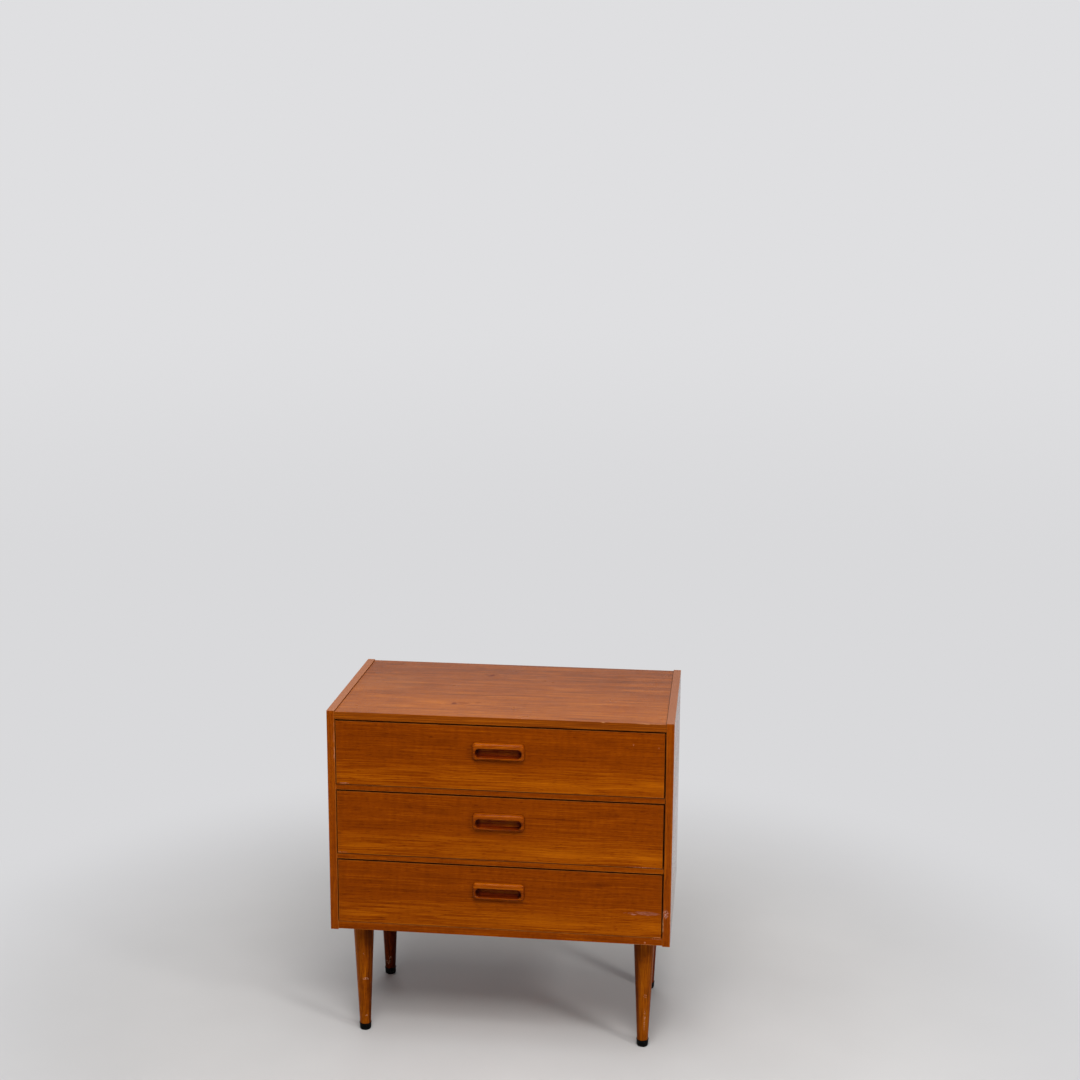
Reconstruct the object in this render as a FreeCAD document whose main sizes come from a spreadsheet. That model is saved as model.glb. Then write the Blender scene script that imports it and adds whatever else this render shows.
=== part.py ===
"""A chiffonier of three drawers in teak, on four turned legs.

Millimetres, +Z up, and the drawers open towards -Y. The origin lies on the floor, under the
middle of the outline. Left and right are as seen by someone who stands before the drawers.
"""
import FreeCAD, Part
import os
import re

import Sketcher

DOC = FreeCAD.newDocument("chiffonier")
SHEET = DOC.addObject("Spreadsheet::Sheet", "sizes")

# The driving sizes: alias, millimetres, what it measures.
SIZES = (
    ("chest_width", 700.0, "over both sides"),
    ("chest_depth", 391.0, "of a side, front edge to back edge"),
    ("side_height", 471.0, "of a side"),
    ("panel_thickness", 16.0, "of the sides, the top and the bottom"),
    ("top_drop", 2.0, "the top's surface below the sides' upper ends"),
    ("bottom_lift", 2.0, "the bottom's underside above the sides' lower ends"),
    ("panel_setback", 0.6, "the top's and bottom's front edge behind the sides'"),
    ("edge_radius", 0.7, "rounding of the boards' edges"),
    ("rail_height", 11.0, "of the rails between the drawers"),
    ("rail_depth", 45.0, "of those rails, front to back"),
    ("rail_setback", 0.8, "the rails' front edge behind the sides'"),
    ("rebate_width", 8.0, "of the rebate that holds the back"),
    ("back_thickness", 4.0, "of the back"),
    ("back_inset", 1.0, "the back's outer face inside the sides' back edge"),
    ("back_play", 0.3, "between the back's edges and its rebate"),
    ("runner_width", 22.0, "of the strips that the drawers slide on"),
    ("stop_thickness", 12.0, "of the blocks that stop a closed drawer, front to back"),
    ("stop_width", 18.0, "of those blocks"),
    ("stop_height", 10.0, "of those blocks"),
    ("slide_play", 0.3, "under a drawer's sides, and before its stops"),
    ("drawer_side_gap", 1.5, "between a drawer and the side beside it"),
    ("front_top_gap", 2.6, "above a drawer's front"),
    ("front_bottom_gap", 0.5, "below a drawer's front"),
    ("front_recess", 1.2, "the drawers' fronts behind the sides' front edges"),
    ("front_thickness", 18.0, "of a drawer's front"),
    ("side_top_gap", 22.0, "above a drawer's sides"),
    ("drawer_board", 12.0, "thickness of a drawer's sides and back"),
    ("tail_length", 12.0, "of the dovetails"),
    ("tail_flare", 2.0, "widening of a dovetail at each flank"),
    ("pin_width", 9.0, "of the front's wood between two dovetail tips"),
    ("joint_play", 0.1, "in the dovetails, housings and grooves"),
    ("ply_thickness", 4.0, "of a drawer's bottom"),
    ("ply_lift", 10.0, "a drawer's bottom above its sides' lower edges"),
    ("groove_depth", 5.0, "of the grooves that hold a drawer's bottom"),
    ("back_drop", 8.0, "a drawer's back below its sides' upper edges"),
    ("back_offset", 10.0, "a drawer's back before its sides' rear ends"),
    ("housing_depth", 4.0, "of the housings that hold a drawer's back"),
    ("end_bar", 6.0, "of a pull's frame beside the finger recess"),
    ("upper_bar", 10.5, "of a pull's frame above the finger recess"),
    ("lower_bar", 5.0, "of a pull's frame below the finger recess"),
    ("pull_proud", 8.0, "a pull's face before the drawer's front"),
    ("pull_corner", 7.5, "radius of a pull's corners"),
    ("pull_round", 3.0, "rounding of a pull's outer rim"),
    ("pull_drop", 34.5, "a pull's upper edge below the top of the drawer's front"),
    ("grip_width", 94.0, "of the finger recess"),
    ("grip_height", 19.0, "of the finger recess"),
    ("grip_wall", 3.5, "of wood around and behind the recess"),
    ("grip_round", 6.0, "rounding at the recess's bottom"),
    ("grip_rim", 1.0, "rounding of the recess's mouth"),
    ("plug_depth", 10.0, "a pull's reach into the drawer's front"),
    ("leg_inset_side", 55.0, "a leg's axis inside the chest's side"),
    ("leg_inset_front", 64.0, "a leg's axis inside the front and back edges"),
    ("leg_length", 246.0, "of a leg"),
    ("leg_top_diameter", 44.6, "of a leg at its upper end"),
    ("leg_foot_diameter", 22.4, "of a leg at its lower end"),
    ("leg_arris", 1.0, "bevel at a leg's upper end"),
    ("plate_size", 62.0, "of the square steel plate over a leg"),
    ("plate_thickness", 2.5, "of that plate"),
    ("plate_corner", 6.0, "radius of the plate's corners"),
    ("plate_spacing", 46.0, "between the plate's screws"),
    ("bolt_diameter", 8.0, "of the bolt in a leg's upper end"),
    ("bolt_in_leg", 30.0, "the bolt's length in the leg"),
    ("bolt_in_panel", 10.0, "the bolt's reach into the bottom panel"),
    ("hole_play", 0.08, "around each bolt, dowel, screw and nail"),
    ("hole_spare", 0.5, "depth of a blind hole past what it holds"),
    ("screw_diameter", 4.0, "of the wood screws"),
    ("screw_head", 7.6, "diameter of their countersunk heads"),
    ("screw_slot", 1.0, "width and depth of their slots"),
    ("plate_screw_length", 13.5, "of the screws through the plates"),
    ("runner_screw_length", 30.0, "of the screws through the runners"),
    ("glide_floor", 5.0, "of plastic under a leg"),
    ("glide_height", 15.0, "of a glide"),
    ("glide_wall", 1.1, "of a glide's cup"),
    ("glide_round", 3.0, "rounding of a glide's lower edge"),
    ("glide_play", 0.13, "between the cup and the leg at the cup's rim"),
    ("nail_diameter", 2.5, "of the nail in a glide"),
    ("nail_head", 7.0, "diameter of its head"),
    ("nail_head_thickness", 1.2, "of its head"),
    ("nail_sink", 0.8, "its head above the glide's underside"),
    ("nail_length", 22.0, "of its shank"),
    ("tack_diameter", 1.8, "of the nails in the back"),
    ("tack_head", 5.0, "diameter of their heads"),
    ("tack_head_thickness", 0.7, "of their heads"),
    ("tack_length", 20.0, "of their shanks"),
    ("brad_diameter", 1.6, "of the headless pins in a drawer's back"),
    ("brad_length", 16.0, "of those pins"),
    ("dowel_diameter", 8.0, "of the dowels of the top and the bottom"),
    ("dowel_in_side", 10.0, "their length in a side"),
    ("dowel_in_panel", 20.0, "their length in the top or bottom"),
    ("dowel_clear", 8.0, "from a leg's plate to the axis of the dowel before or behind it"),
    ("peg_diameter", 6.0, "of the dowels of the rails"),
    ("peg_in_side", 8.0, "their length in a side"),
    ("peg_in_rail", 16.0, "their length in a rail"),
    ("peg_margin", 11.0, "the rails' dowels inside the rail's front and back edges"),
)

# Places worked out from those sizes. A drawer's level counts from 0, the bottom drawer.
PLACES = {
    "inner_x": "chest_width / 2 - panel_thickness",
    "front_y": "-(chest_depth - pull_proud + front_recess) / 2",
    "back_y": "front_y + chest_depth",
    "skin_y": "back_y - back_inset",
    "cavity_y": "skin_y - back_thickness",
    "plate_z": "glide_floor + leg_length",
    "under_z": "plate_z + plate_thickness",
    "low_z": "under_z - bottom_lift",
    "high_z": "low_z + side_height",
    "floor_z": "under_z + panel_thickness",
    "top_z": "high_z - top_drop",
    "ceiling_z": "top_z - panel_thickness",
    "opening": "(ceiling_z - floor_z - 2 * rail_height) / 3",
    "drawer_x": "inner_x - drawer_side_gap",
    "box_x": "drawer_x - drawer_board",
    "face_y": "front_y + front_recess",
    "root_y": "face_y + front_thickness",
    "end_y": "cavity_y - stop_thickness - slide_play",
    "box_back_y": "end_y - back_offset",
    "box_height": "opening - side_top_gap - slide_play",
    "tail_pitch": "box_height / 3",
    "screw_head_height": "(screw_head - screw_diameter) / 2",
    "pull_x": "grip_width / 2 + end_bar",
    "pull_height": "upper_bar + grip_height + lower_bar",
    "leg_x": "chest_width / 2 - leg_inset_side",
    "dowel_margin": "leg_inset_front - plate_size / 2 - dowel_clear",
    "leg_taper": "(leg_top_diameter - leg_foot_diameter) / 2 / leg_length",
    "cup_radius": "leg_foot_diameter / 2 + leg_taper * (glide_height - glide_floor) + glide_play",
}

SIDES = {"left": -1, "right": 1}
DRAWERS = ("bottom", "middle", "top")
RAILS = ("lower", "upper")
LEG_ENDS = {
    "front": "front_y + leg_inset_front",
    "rear": "back_y - leg_inset_front",
}
DOWELS_PER_END = 4
SCREWS_PER_RUNNER = 3
TAILS = 3
UP = FreeCAD.Vector(0, 0, 1)
TOUCH = 0.001

NODES = []


def fill_sheet():
    """Write each driving size to the sheet as a number with its alias."""
    for row, (alias, number, note) in enumerate(SIZES, 1):
        SHEET.set(f"A{row}", alias)
        SHEET.set(f"B{row}", str(number))
        SHEET.setAlias(f"B{row}", alias)
        SHEET.set(f"C{row}", note)
    DOC.recompute()


def formula(text):
    """Spell a formula out in the sheet's aliases."""

    def spell(match):
        word = match.group(0)
        if word in PLACES:
            return f"({formula(PLACES[word])})"
        return f"sizes.{word}"

    return re.sub(r"[a-z]\w*", spell, str(text))


def number(text):
    """The value of a formula."""
    return float(SHEET.evalExpression(formula(text)))


def point(x, y, z):
    """A point from three formulas."""
    return FreeCAD.Vector(number(x), number(y), number(z))


def bind(thing, **formulas):
    """Bind properties of a document object to formulas."""
    for name, text in formulas.items():
        thing.setExpression(name, formula(text))


def place(thing, x, y, z):
    """Bind a document object's place to formulas."""
    for axis, text in zip("xyz", (x, y, z)):
        thing.setExpression(f"Placement.Base.{axis}", formula(text))


def node(label, thing):
    """Name a finished piece, for its file."""
    thing.Label = label
    NODES.append(thing)
    return thing


def block(name, x, y, z):
    """A block between two formulas along each axis."""
    box = DOC.addObject("Part::Box", name)
    bind(
        box,
        Length=f"({x[1]}) - ({x[0]})",
        Width=f"({y[1]}) - ({y[0]})",
        Height=f"({z[1]}) - ({z[0]})",
    )
    place(box, x[0], y[0], z[0])
    return box


def feature(name, shapes):
    """A document object that holds shapes, as one compound."""
    thing = DOC.addObject("Part::Feature", name)
    thing.Shape = Part.makeCompound(shapes)
    return thing


def cut(name, base, tool):
    """What is left of base when tool is taken away."""
    piece = DOC.addObject("Part::Cut", name)
    piece.Base = base
    piece.Tool = tool
    return piece


def fuse(name, *parts):
    """Several overlapping solids as one."""
    piece = DOC.addObject("Part::MultiFuse", name)
    piece.Shapes = list(parts)
    piece.Refine = True
    return piece


def rounded(base, radius, wanted=None):
    """Round the edges of base that wanted picks, or all of them."""
    DOC.recompute()
    fillet = DOC.addObject("Part::Fillet", base.Name + "_rounded")
    fillet.Base = base
    size = number(radius)
    numbered = enumerate(base.Shape.Edges, 1)
    fillet.Edges = [(n, size, size) for n, edge in numbered if wanted is None or wanted(edge)]
    return fillet


def lies_at(axis, text):
    """A test for edges that lie wholly at one coordinate along an axis."""
    place_along = number(text)

    def wanted(edge):
        box = edge.BoundBox
        ends = (getattr(box, axis + "Min"), getattr(box, axis + "Max"))
        return all(abs(end - place_along) < 0.01 for end in ends)

    return wanted


def runs_along_y(edge):
    """A test for edges parallel to Y."""
    box = edge.BoundBox
    return box.YLength > max(box.XLength, box.ZLength)


def outline(body, name, role, corners):
    """A closed sketch through corners, given as pairs of formulas, on a plane of its body."""
    sketch = body.newObject("Sketcher::SketchObject", name)
    plane = next(item for item in body.Origin.OriginFeatures if item.Role == role)
    sketch.AttachmentSupport = (plane, [""])
    sketch.MapMode = "FlatFace"
    spots = [FreeCAD.Vector(number(a), number(b), 0) for a, b in corners]
    for start, end in zip(spots, spots[1:] + spots[:1]):
        sketch.addGeometry(Part.LineSegment(start, end), False)
    for line in range(len(spots)):
        following = (line + 1) % len(spots)
        sketch.addConstraint(Sketcher.Constraint("Coincident", line, 2, following, 1))
    for line, pair in enumerate(corners):
        for text, kind, axis in zip(pair, ("DistanceX", "DistanceY"), (-2, -1)):
            if text == "0":
                sketch.addConstraint(Sketcher.Constraint("PointOnObject", line, 1, axis))
                continue
            rule = Sketcher.Constraint(kind, -1, 1, line, 1, number(text))
            index = sketch.addConstraint(rule)
            sketch.setExpression(f"Constraints[{index}]", formula(text))
    return sketch


def turned(name, corners):
    """A body of revolution about Z, from a half section of (radius, height) formulas."""
    body = DOC.addObject("PartDesign::Body", name)
    sketch = outline(body, name + "_section", "XZ_Plane", corners)
    lathe = body.newObject("PartDesign::Revolution", name + "_lathe")
    lathe.Profile = sketch
    lathe.ReferenceAxis = (sketch, ["V_Axis"])
    lathe.Angle = 360
    return body


def aimed(shape, start, direction):
    """A copy of a shape that runs up +Z from the origin, moved to start along direction."""
    copy = shape.copy()
    copy.Placement = FreeCAD.Placement(start, FreeCAD.Rotation(UP, direction))
    return copy


def spun(half_section):
    """A solid of revolution about Z from (radius, height) numbers."""
    spots = [FreeCAD.Vector(radius, 0, height) for radius, height in half_section]
    wire = Part.makePolygon(spots + spots[:1])
    return Part.Face(wire).revolve(FreeCAD.Vector(), UP, 360)


def rod(diameter, length):
    """A plain round rod up +Z."""
    return Part.makeCylinder(number(diameter) / 2, number(length))


def hole(diameter, length):
    """The hole for a rod, with play around it and a little spare depth."""
    return rod(f"{diameter} + 2 * hole_play", f"{length} + hole_spare")


def wood_screw(length):
    """A slotted countersunk screw, with its head's face at the origin."""
    shank = number("screw_diameter") / 2
    head = number("screw_head") / 2
    slot = number("screw_slot")
    reach = number(length)
    section = (
        (0, 0),
        (head, 0),
        (shank, number("screw_head_height")),
        (shank, reach - 2 * shank),
        (0, reach),
    )
    corner = FreeCAD.Vector(-head, -slot / 2, 0)
    return spun(section).cut(Part.makeBox(2 * head, slot, slot, corner))


def screw_hole(length):
    """The countersunk hole for a wood screw."""
    play = number("hole_play")
    shank = number("screw_diameter") / 2 + play
    head = number("screw_head") / 2 + play
    section = (
        (0, 0),
        (head, 0),
        (shank, number("screw_head_height")),
        (shank, number(length)),
        (0, number(length)),
    )
    return spun(section)


def flat_nail(diameter, head, head_thickness, length):
    """A nail with a flat head, whose face is at the origin."""
    shank = number(diameter) / 2
    thickness = number(head_thickness)
    end = thickness + number(length)
    section = (
        (0, 0),
        (number(head) / 2, 0),
        (number(head) / 2, thickness),
        (shank, thickness),
        (shank, end - 2 * shank),
        (0, end),
    )
    return spun(section)


def dowel_spots():
    """Start and direction of each panel dowel, and of each rail dowel, by the end it holds."""
    panels = []
    rails = []
    for sign in SIDES.values():
        towards = FreeCAD.Vector(-sign, 0, 0)
        for height in ("ceiling_z + panel_thickness / 2", "floor_z - panel_thickness / 2"):
            for step in range(DOWELS_PER_END):
                share = f"{step} * (chest_depth - 2 * dowel_margin) / {DOWELS_PER_END - 1}"
                start = point(
                    f"{sign} * (inner_x + dowel_in_side)",
                    f"front_y + dowel_margin + {share}",
                    height,
                )
                panels.append((start, towards))
        for level in rail_levels():
            for along in ("peg_margin", "rail_depth - peg_margin"):
                start = point(
                    f"{sign} * (inner_x + peg_in_side)",
                    f"front_y + rail_setback + {along}",
                    f"{level_z(level)} - rail_height / 2",
                )
                rails.append((start, towards))
    return panels, rails


def rail_levels():
    """The levels that have a rail under them: all but the bottom drawer's."""
    return range(1, len(DRAWERS))


def level_z(level):
    """The height that the drawer at a level slides on, as a formula."""
    return f"(floor_z + {level} * (opening + rail_height))"


def runner_screw_spots(sign, level):
    """Start and direction of the screws that hold a runner to a side."""
    spots = []
    for step in range(SCREWS_PER_RUNNER):
        share = f"{step + 0.5} / {SCREWS_PER_RUNNER}"
        start = point(
            f"{sign} * (inner_x - runner_width)",
            f"{rail_back()} + (cavity_y - {rail_back()}) * {share}",
            f"{level_z(level)} - rail_height / 2",
        )
        spots.append((start, FreeCAD.Vector(sign, 0, 0)))
    return spots


def rail_back():
    """Where the rails end and the runners start, as a formula."""
    return "(front_y + rail_setback + rail_depth)"


def tack_spots():
    """Starts of the nails in the back: three along each edge."""
    tops = "(ceiling_z + rebate_width / 2)"
    bottoms = "(floor_z - rebate_width / 2)"
    edge_x = "(inner_x + rebate_width / 2)"
    spots = []
    for sign in SIDES.values():
        for share in ("1 / 6", "1 / 2", "5 / 6"):
            spots.append((f"{sign} * {edge_x}", f"{bottoms} + ({tops} - {bottoms}) * {share}"))
    for height in (tops, bottoms):
        for share in ("-1 / 2", "0", "1 / 2"):
            spots.append((f"{share} * inner_x", height))
    return [point(x, "skin_y + tack_head_thickness", z) for x, z in spots]


def holes_at(shape, spots):
    """Copies of one hole's shape at each start and direction."""
    return [aimed(shape, start, direction) for start, direction in spots]


def spare_start(spots):
    """The same starts, drawn back by a blind hole's spare depth."""
    spare = number("hole_spare")
    return [(start - direction * spare, direction) for start, direction in spots]


def joinery_holes():
    """Every hole for dowels, tacks and runner screws, for the boards that they meet."""
    panels, rails = dowel_spots()
    dowel = hole("dowel_diameter", "dowel_in_side + dowel_in_panel + hole_spare")
    peg = hole("peg_diameter", "peg_in_side + peg_in_rail + hole_spare")
    tack = rod("tack_diameter + 2 * hole_play", "tack_head_thickness + tack_length + hole_spare")
    inwards = FreeCAD.Vector(0, -1, 0)
    holes = {
        "panels": holes_at(dowel, spare_start(panels)),
        "rails": holes_at(peg, spare_start(rails)),
        "tacks": [aimed(tack, spot, inwards) for spot in tack_spots()],
        "runners": {},
    }
    screw = screw_hole("runner_screw_length + hole_spare")
    for level in rail_levels():
        for sign in SIDES.values():
            holes["runners"][sign, level] = holes_at(screw, runner_screw_spots(sign, level))
    return holes


def near(shapes, sign):
    """The shapes on one side of the chest's middle."""
    return [shape for shape in shapes if shape.BoundBox.Center.x * sign > TOUCH]


def make_sides(holes):
    """The two sides, rebated for the back."""
    for side, sign in SIDES.items():
        inner, outer = sorted((f"{sign} * inner_x", f"{sign} * chest_width / 2"), key=number)
        board = block(f"{side}_board", (inner, outer), ("front_y", "back_y"), ("low_z", "high_z"))
        ledge = sorted((f"{sign} * inner_x", f"{sign} * (inner_x + rebate_width)"), key=number)
        rebate = block(
            f"{side}_rebate",
            ledge,
            ("cavity_y", "back_y"),
            ("floor_z - rebate_width", "ceiling_z + rebate_width"),
        )
        drilled = near(holes["panels"] + holes["rails"] + holes["tacks"], sign)
        drilled += [shape for (where, _), group in holes["runners"].items() for shape in group
                    if where == sign]
        rebated = cut(f"{side}_rebated", rounded(board, "edge_radius"), rebate)
        drills = feature(f"{side}_drills", drilled)
        node(f"{side}_side", cut(f"{side}_side", rebated, drills))


def make_panel(name, low, high, rebate_z, holes):
    """The top or the bottom, between the sides, rebated for the back."""
    board = block(
        f"{name}_board",
        ("-inner_x", "inner_x"),
        ("front_y + panel_setback", "skin_y"),
        (low, high),
    )
    rebate = block(f"{name}_rebate", ("-inner_x", "inner_x"), ("cavity_y", "skin_y"), rebate_z)
    rebated = cut(f"{name}_rebated", rounded(board, "edge_radius"), rebate)
    return cut(f"{name}_panel", rebated, feature(f"{name}_drills", holes))


def make_panels(holes):
    """The top and the bottom."""
    drills = holes["panels"] + holes["tacks"]
    node("top_panel", make_panel(
        "top",
        "ceiling_z",
        "top_z",
        ("ceiling_z", "ceiling_z + rebate_width"),
        drills,
    ))
    bolt = hole("bolt_diameter", "bolt_in_panel")
    screw = hole("screw_diameter", "plate_screw_length - plate_thickness")
    for x, y in leg_spots():
        drills = drills + [aimed(bolt, point(x, y, "under_z"), UP)]
        for a, b in plate_screw_spots(x, y):
            drills = drills + [aimed(screw, point(a, b, "under_z"), UP)]
    node("bottom_panel", make_panel(
        "bottom",
        "under_z",
        "floor_z",
        ("floor_z - rebate_width", "floor_z"),
        drills,
    ))


def make_back(holes):
    """The thin back, nailed into the rebates."""
    reach = "rebate_width - back_play"
    sheet = block(
        "back_sheet",
        (f"-(inner_x + {reach})", f"inner_x + {reach}"),
        ("cavity_y", "skin_y"),
        (f"floor_z - ({reach})", f"ceiling_z + {reach}"),
    )
    node("back_panel", cut("back_panel", sheet, feature("back_drills", holes["tacks"])))


def make_rails_and_runners(holes):
    """The rails between the drawers, and behind them the strips that drawers slide on."""
    for name, level in zip(RAILS, rail_levels()):
        height = (f"{level_z(level)} - rail_height", level_z(level))
        rail = block(
            f"{name}_bar",
            ("-inner_x", "inner_x"),
            ("front_y + rail_setback", rail_back()),
            height,
        )
        bored = cut(
            f"{name}_rail",
            rounded(rail, "edge_radius", lies_at("Y", "front_y + rail_setback")),
            feature(f"{name}_rail_drills", holes["rails"]),
        )
        node(f"{name}_rail", bored)
        for side, sign in SIDES.items():
            x = sorted((f"{sign} * inner_x", f"{sign} * (inner_x - runner_width)"), key=number)
            strip = block(f"{name}_{side}_strip", x, (rail_back(), "cavity_y"), height)
            drills = feature(f"{name}_{side}_drills", holes["runners"][sign, level])
            node(f"{name}_{side}_runner", cut(f"{name}_{side}_runner", strip, drills))


def make_stops():
    """A block behind each side of each drawer, glued on what the drawer slides on."""
    blocks = []
    for level in range(len(DRAWERS)):
        for side, sign in SIDES.items():
            x = sorted((f"{sign} * inner_x", f"{sign} * (inner_x - stop_width)"), key=number)
            blocks.append(block(
                f"stop_{side}_{level}",
                x,
                ("cavity_y - stop_thickness", "cavity_y"),
                (level_z(level), f"{level_z(level)} + stop_height"),
            ))
    group = DOC.addObject("Part::Compound", "drawer_stops")
    group.Links = blocks
    node("drawer_stops", group)


def make_joinery():
    """Dowels, nails and screws of the carcass, each kind as one group."""
    panels, rails = dowel_spots()
    dowel = rod("dowel_diameter", "dowel_in_side + dowel_in_panel")
    peg = rod("peg_diameter", "peg_in_side + peg_in_rail")
    tack = flat_nail("tack_diameter", "tack_head", "tack_head_thickness", "tack_length")
    screw = wood_screw("runner_screw_length")
    inwards = FreeCAD.Vector(0, -1, 0)
    runner_screws = []
    for level in rail_levels():
        for sign in SIDES.values():
            runner_screws += holes_at(screw, runner_screw_spots(sign, level))
    node("panel_dowels", feature("panel_dowels", holes_at(dowel, panels)))
    node("rail_dowels", feature("rail_dowels", holes_at(peg, rails)))
    node("back_panel_nails", feature(
        "back_panel_nails",
        [aimed(tack, spot, inwards) for spot in tack_spots()],
    ))
    node("runner_screws", feature("runner_screws", runner_screws))


def leg_spots():
    """The four legs' axes, as pairs of formulas."""
    return [(f"{sign} * leg_x", y) for y in LEG_ENDS.values() for sign in SIDES.values()]


def plate_screw_spots(x, y):
    """The four screws around a leg's axis, as pairs of formulas."""
    signs = SIDES.values()
    half = "plate_spacing / 2"
    return [(f"{x} + {a} * {half}", f"{y} + {b} * {half}") for a in signs for b in signs]


def make_leg(name, x, y):
    """A turned leg, tapered from its plate to its glide."""
    bolt = "(bolt_diameter / 2 + hole_play)"
    nail = "(nail_diameter / 2 + hole_play)"
    nail_depth = "(nail_sink + nail_head_thickness + nail_length - glide_floor + hole_spare)"
    bolt_depth = "(leg_length - bolt_in_leg - hole_spare)"
    leg = turned(name, (
        ("0", nail_depth),
        (nail, nail_depth),
        (nail, "0"),
        ("leg_foot_diameter / 2", "0"),
        ("leg_top_diameter / 2 - leg_taper * leg_arris", "leg_length - leg_arris"),
        ("leg_top_diameter / 2 - leg_arris", "leg_length"),
        (bolt, "leg_length"),
        (bolt, bolt_depth),
        ("0", bolt_depth),
    ))
    place(leg, x, y, "glide_floor")
    node(name, leg)


def make_plate(name, x, y):
    """The steel plate that a leg's bolt screws into."""
    half = "plate_size / 2"
    slab = block(
        f"{name}_slab",
        (f"{x} - {half}", f"{x} + {half}"),
        (f"{y} - {half}", f"{y} + {half}"),
        ("plate_z", "under_z"),
    )
    corners = rounded(slab, "plate_corner", lambda edge: edge.BoundBox.ZLength > TOUCH)
    drills = [aimed(screw_hole("plate_screw_length"), point(a, b, "plate_z"), UP)
              for a, b in plate_screw_spots(x, y)]
    through = rod("bolt_diameter + 2 * hole_play", "plate_thickness")
    drills.append(aimed(through, point(x, y, "plate_z"), UP))
    node(name, cut(name, corners, feature(f"{name}_drills", drills)))


def make_glide(name, x, y):
    """A plastic cup on a leg's lower end, held by a nail from below."""
    shank = "(nail_diameter / 2 + hole_play)"
    head = "(nail_head / 2 + hole_play)"
    sunk = "(nail_sink + nail_head_thickness)"
    outer = "(cup_radius + glide_wall)"
    cup = turned(f"{name}_cup", (
        (shank, sunk),
        (head, sunk),
        (head, "0"),
        (outer, "0"),
        (outer, "glide_height"),
        ("cup_radius", "glide_height"),
        ("cup_radius", "glide_floor"),
        (shank, "glide_floor"),
    ))
    place(cup, x, y, "0")
    at_floor = lies_at("Z", "0")
    width = 2 * number("cup_radius")
    sole = rounded(cup, "glide_round", lambda edge: at_floor(edge) and edge.BoundBox.XLength > width)
    node(name, sole)


def make_legs():
    """Legs, plates and glides at the four corners, and their fasteners as groups."""
    spots = iter(leg_spots())
    for end in LEG_ENDS:
        for side in SIDES:
            x, y = next(spots)
            make_leg(f"{end}_{side}_leg", x, y)
            make_plate(f"{end}_{side}_leg_plate", x, y)
            make_glide(f"{end}_{side}_glide", x, y)
    bolt = rod("bolt_diameter", "bolt_in_leg + plate_thickness + bolt_in_panel")
    screw = wood_screw("plate_screw_length")
    nail = flat_nail("nail_diameter", "nail_head", "nail_head_thickness", "nail_length")
    bolts = [aimed(bolt, point(x, y, "plate_z - bolt_in_leg"), UP) for x, y in leg_spots()]
    nails = [aimed(nail, point(x, y, "nail_sink"), UP) for x, y in leg_spots()]
    screws = []
    for x, y in leg_spots():
        screws += [aimed(screw, point(a, b, "plate_z"), UP) for a, b in plate_screw_spots(x, y)]
    node("leg_bolts", feature("leg_bolts", bolts))
    node("leg_plate_screws", feature("leg_plate_screws", screws))
    node("glide_nails", feature("glide_nails", nails))


def tail_corners(low, play):
    """Corners of the dovetails in a drawer's side, tail by tail from below: (y, z) formulas."""
    tails = []
    for index in range(TAILS):
        start = f"({low} + {index} * tail_pitch + pin_width / 2 - {play})"
        end = f"({low} + {index + 1} * tail_pitch - pin_width / 2 + {play})"
        tip = f"root_y - tail_length - {play}"
        tails.append((
            ("root_y", f"{start} + tail_flare"),
            (tip, start),
            (tip, end),
            ("root_y", f"{end} - tail_flare"),
        ))
    return tails


def stadium(name, width, height, middle, y):
    """A slot-shaped block along X, round at both ends, between two formulas along Y."""
    half = f"(({width}) - ({height})) / 2"
    core = block(
        f"{name}_core",
        (f"-{half}", half),
        y,
        (f"{middle} - ({height}) / 2", f"{middle} + ({height}) / 2"),
    )
    ends = []
    for side, sign in SIDES.items():
        end = DOC.addObject("Part::Cylinder", f"{name}_{side}_end")
        bind(end, Radius=f"({height}) / 2", Height=f"({y[1]}) - ({y[0]})")
        end.Placement.Rotation = FreeCAD.Rotation(UP, FreeCAD.Vector(0, 1, 0))
        place(end, f"{sign} * {half}", y[0], middle)
        ends.append(end)
    return fuse(name, core, *ends)


def make_pull(drawer, front_top):
    """A drawer's pull: a rounded frame before the front, and its cup let into the front."""
    high = f"({front_top} - pull_drop)"
    grip = f"({high} - upper_bar - grip_height / 2)"
    face = "face_y - pull_proud"
    frame = block(
        f"{drawer}_pull_frame",
        ("-pull_x", "pull_x"),
        (face, "face_y"),
        (f"{high} - pull_height", high),
    )
    frame = rounded(frame, "pull_corner", runs_along_y)
    frame = rounded(frame, "pull_round", lies_at("Y", face))
    cup = stadium(
        f"{drawer}_pull_cup",
        "grip_width + 2 * grip_wall",
        "grip_height + 2 * grip_wall",
        grip,
        ("face_y - pull_proud / 2", "face_y + plug_depth"),
    )
    bottom = "face_y + plug_depth - grip_wall"
    hollow = stadium(f"{drawer}_pull_hollow", "grip_width", "grip_height", grip, (face, bottom))
    hollow = rounded(hollow, "grip_round", lies_at("Y", bottom))
    solid = cut(f"{drawer}_pull_solid", fuse(f"{drawer}_pull_block", frame, cup), hollow)
    DOC.recompute()
    mouth = rounded(solid, "grip_rim", is_mouth(face, grip))
    node(f"{drawer}_pull", mouth)
    return stadium(
        f"{drawer}_mortise",
        "grip_width + 2 * grip_wall + 2 * joint_play",
        "grip_height + 2 * grip_wall + 2 * joint_play",
        grip,
        ("face_y", "face_y + plug_depth + joint_play"),
    )


def is_mouth(face, middle):
    """A test for the edges of the finger recess in a pull's face."""
    at_face = lies_at("Y", face)
    half_height = number("grip_height") / 2 + TOUCH
    half_width = number("grip_width") / 2 + TOUCH
    height = number(middle)

    def wanted(edge):
        box = edge.BoundBox
        inside = abs(box.ZMin - height) < half_height and abs(box.ZMax - height) < half_height
        return at_face(edge) and inside and max(box.XMax, -box.XMin) < half_width

    return wanted


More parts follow.
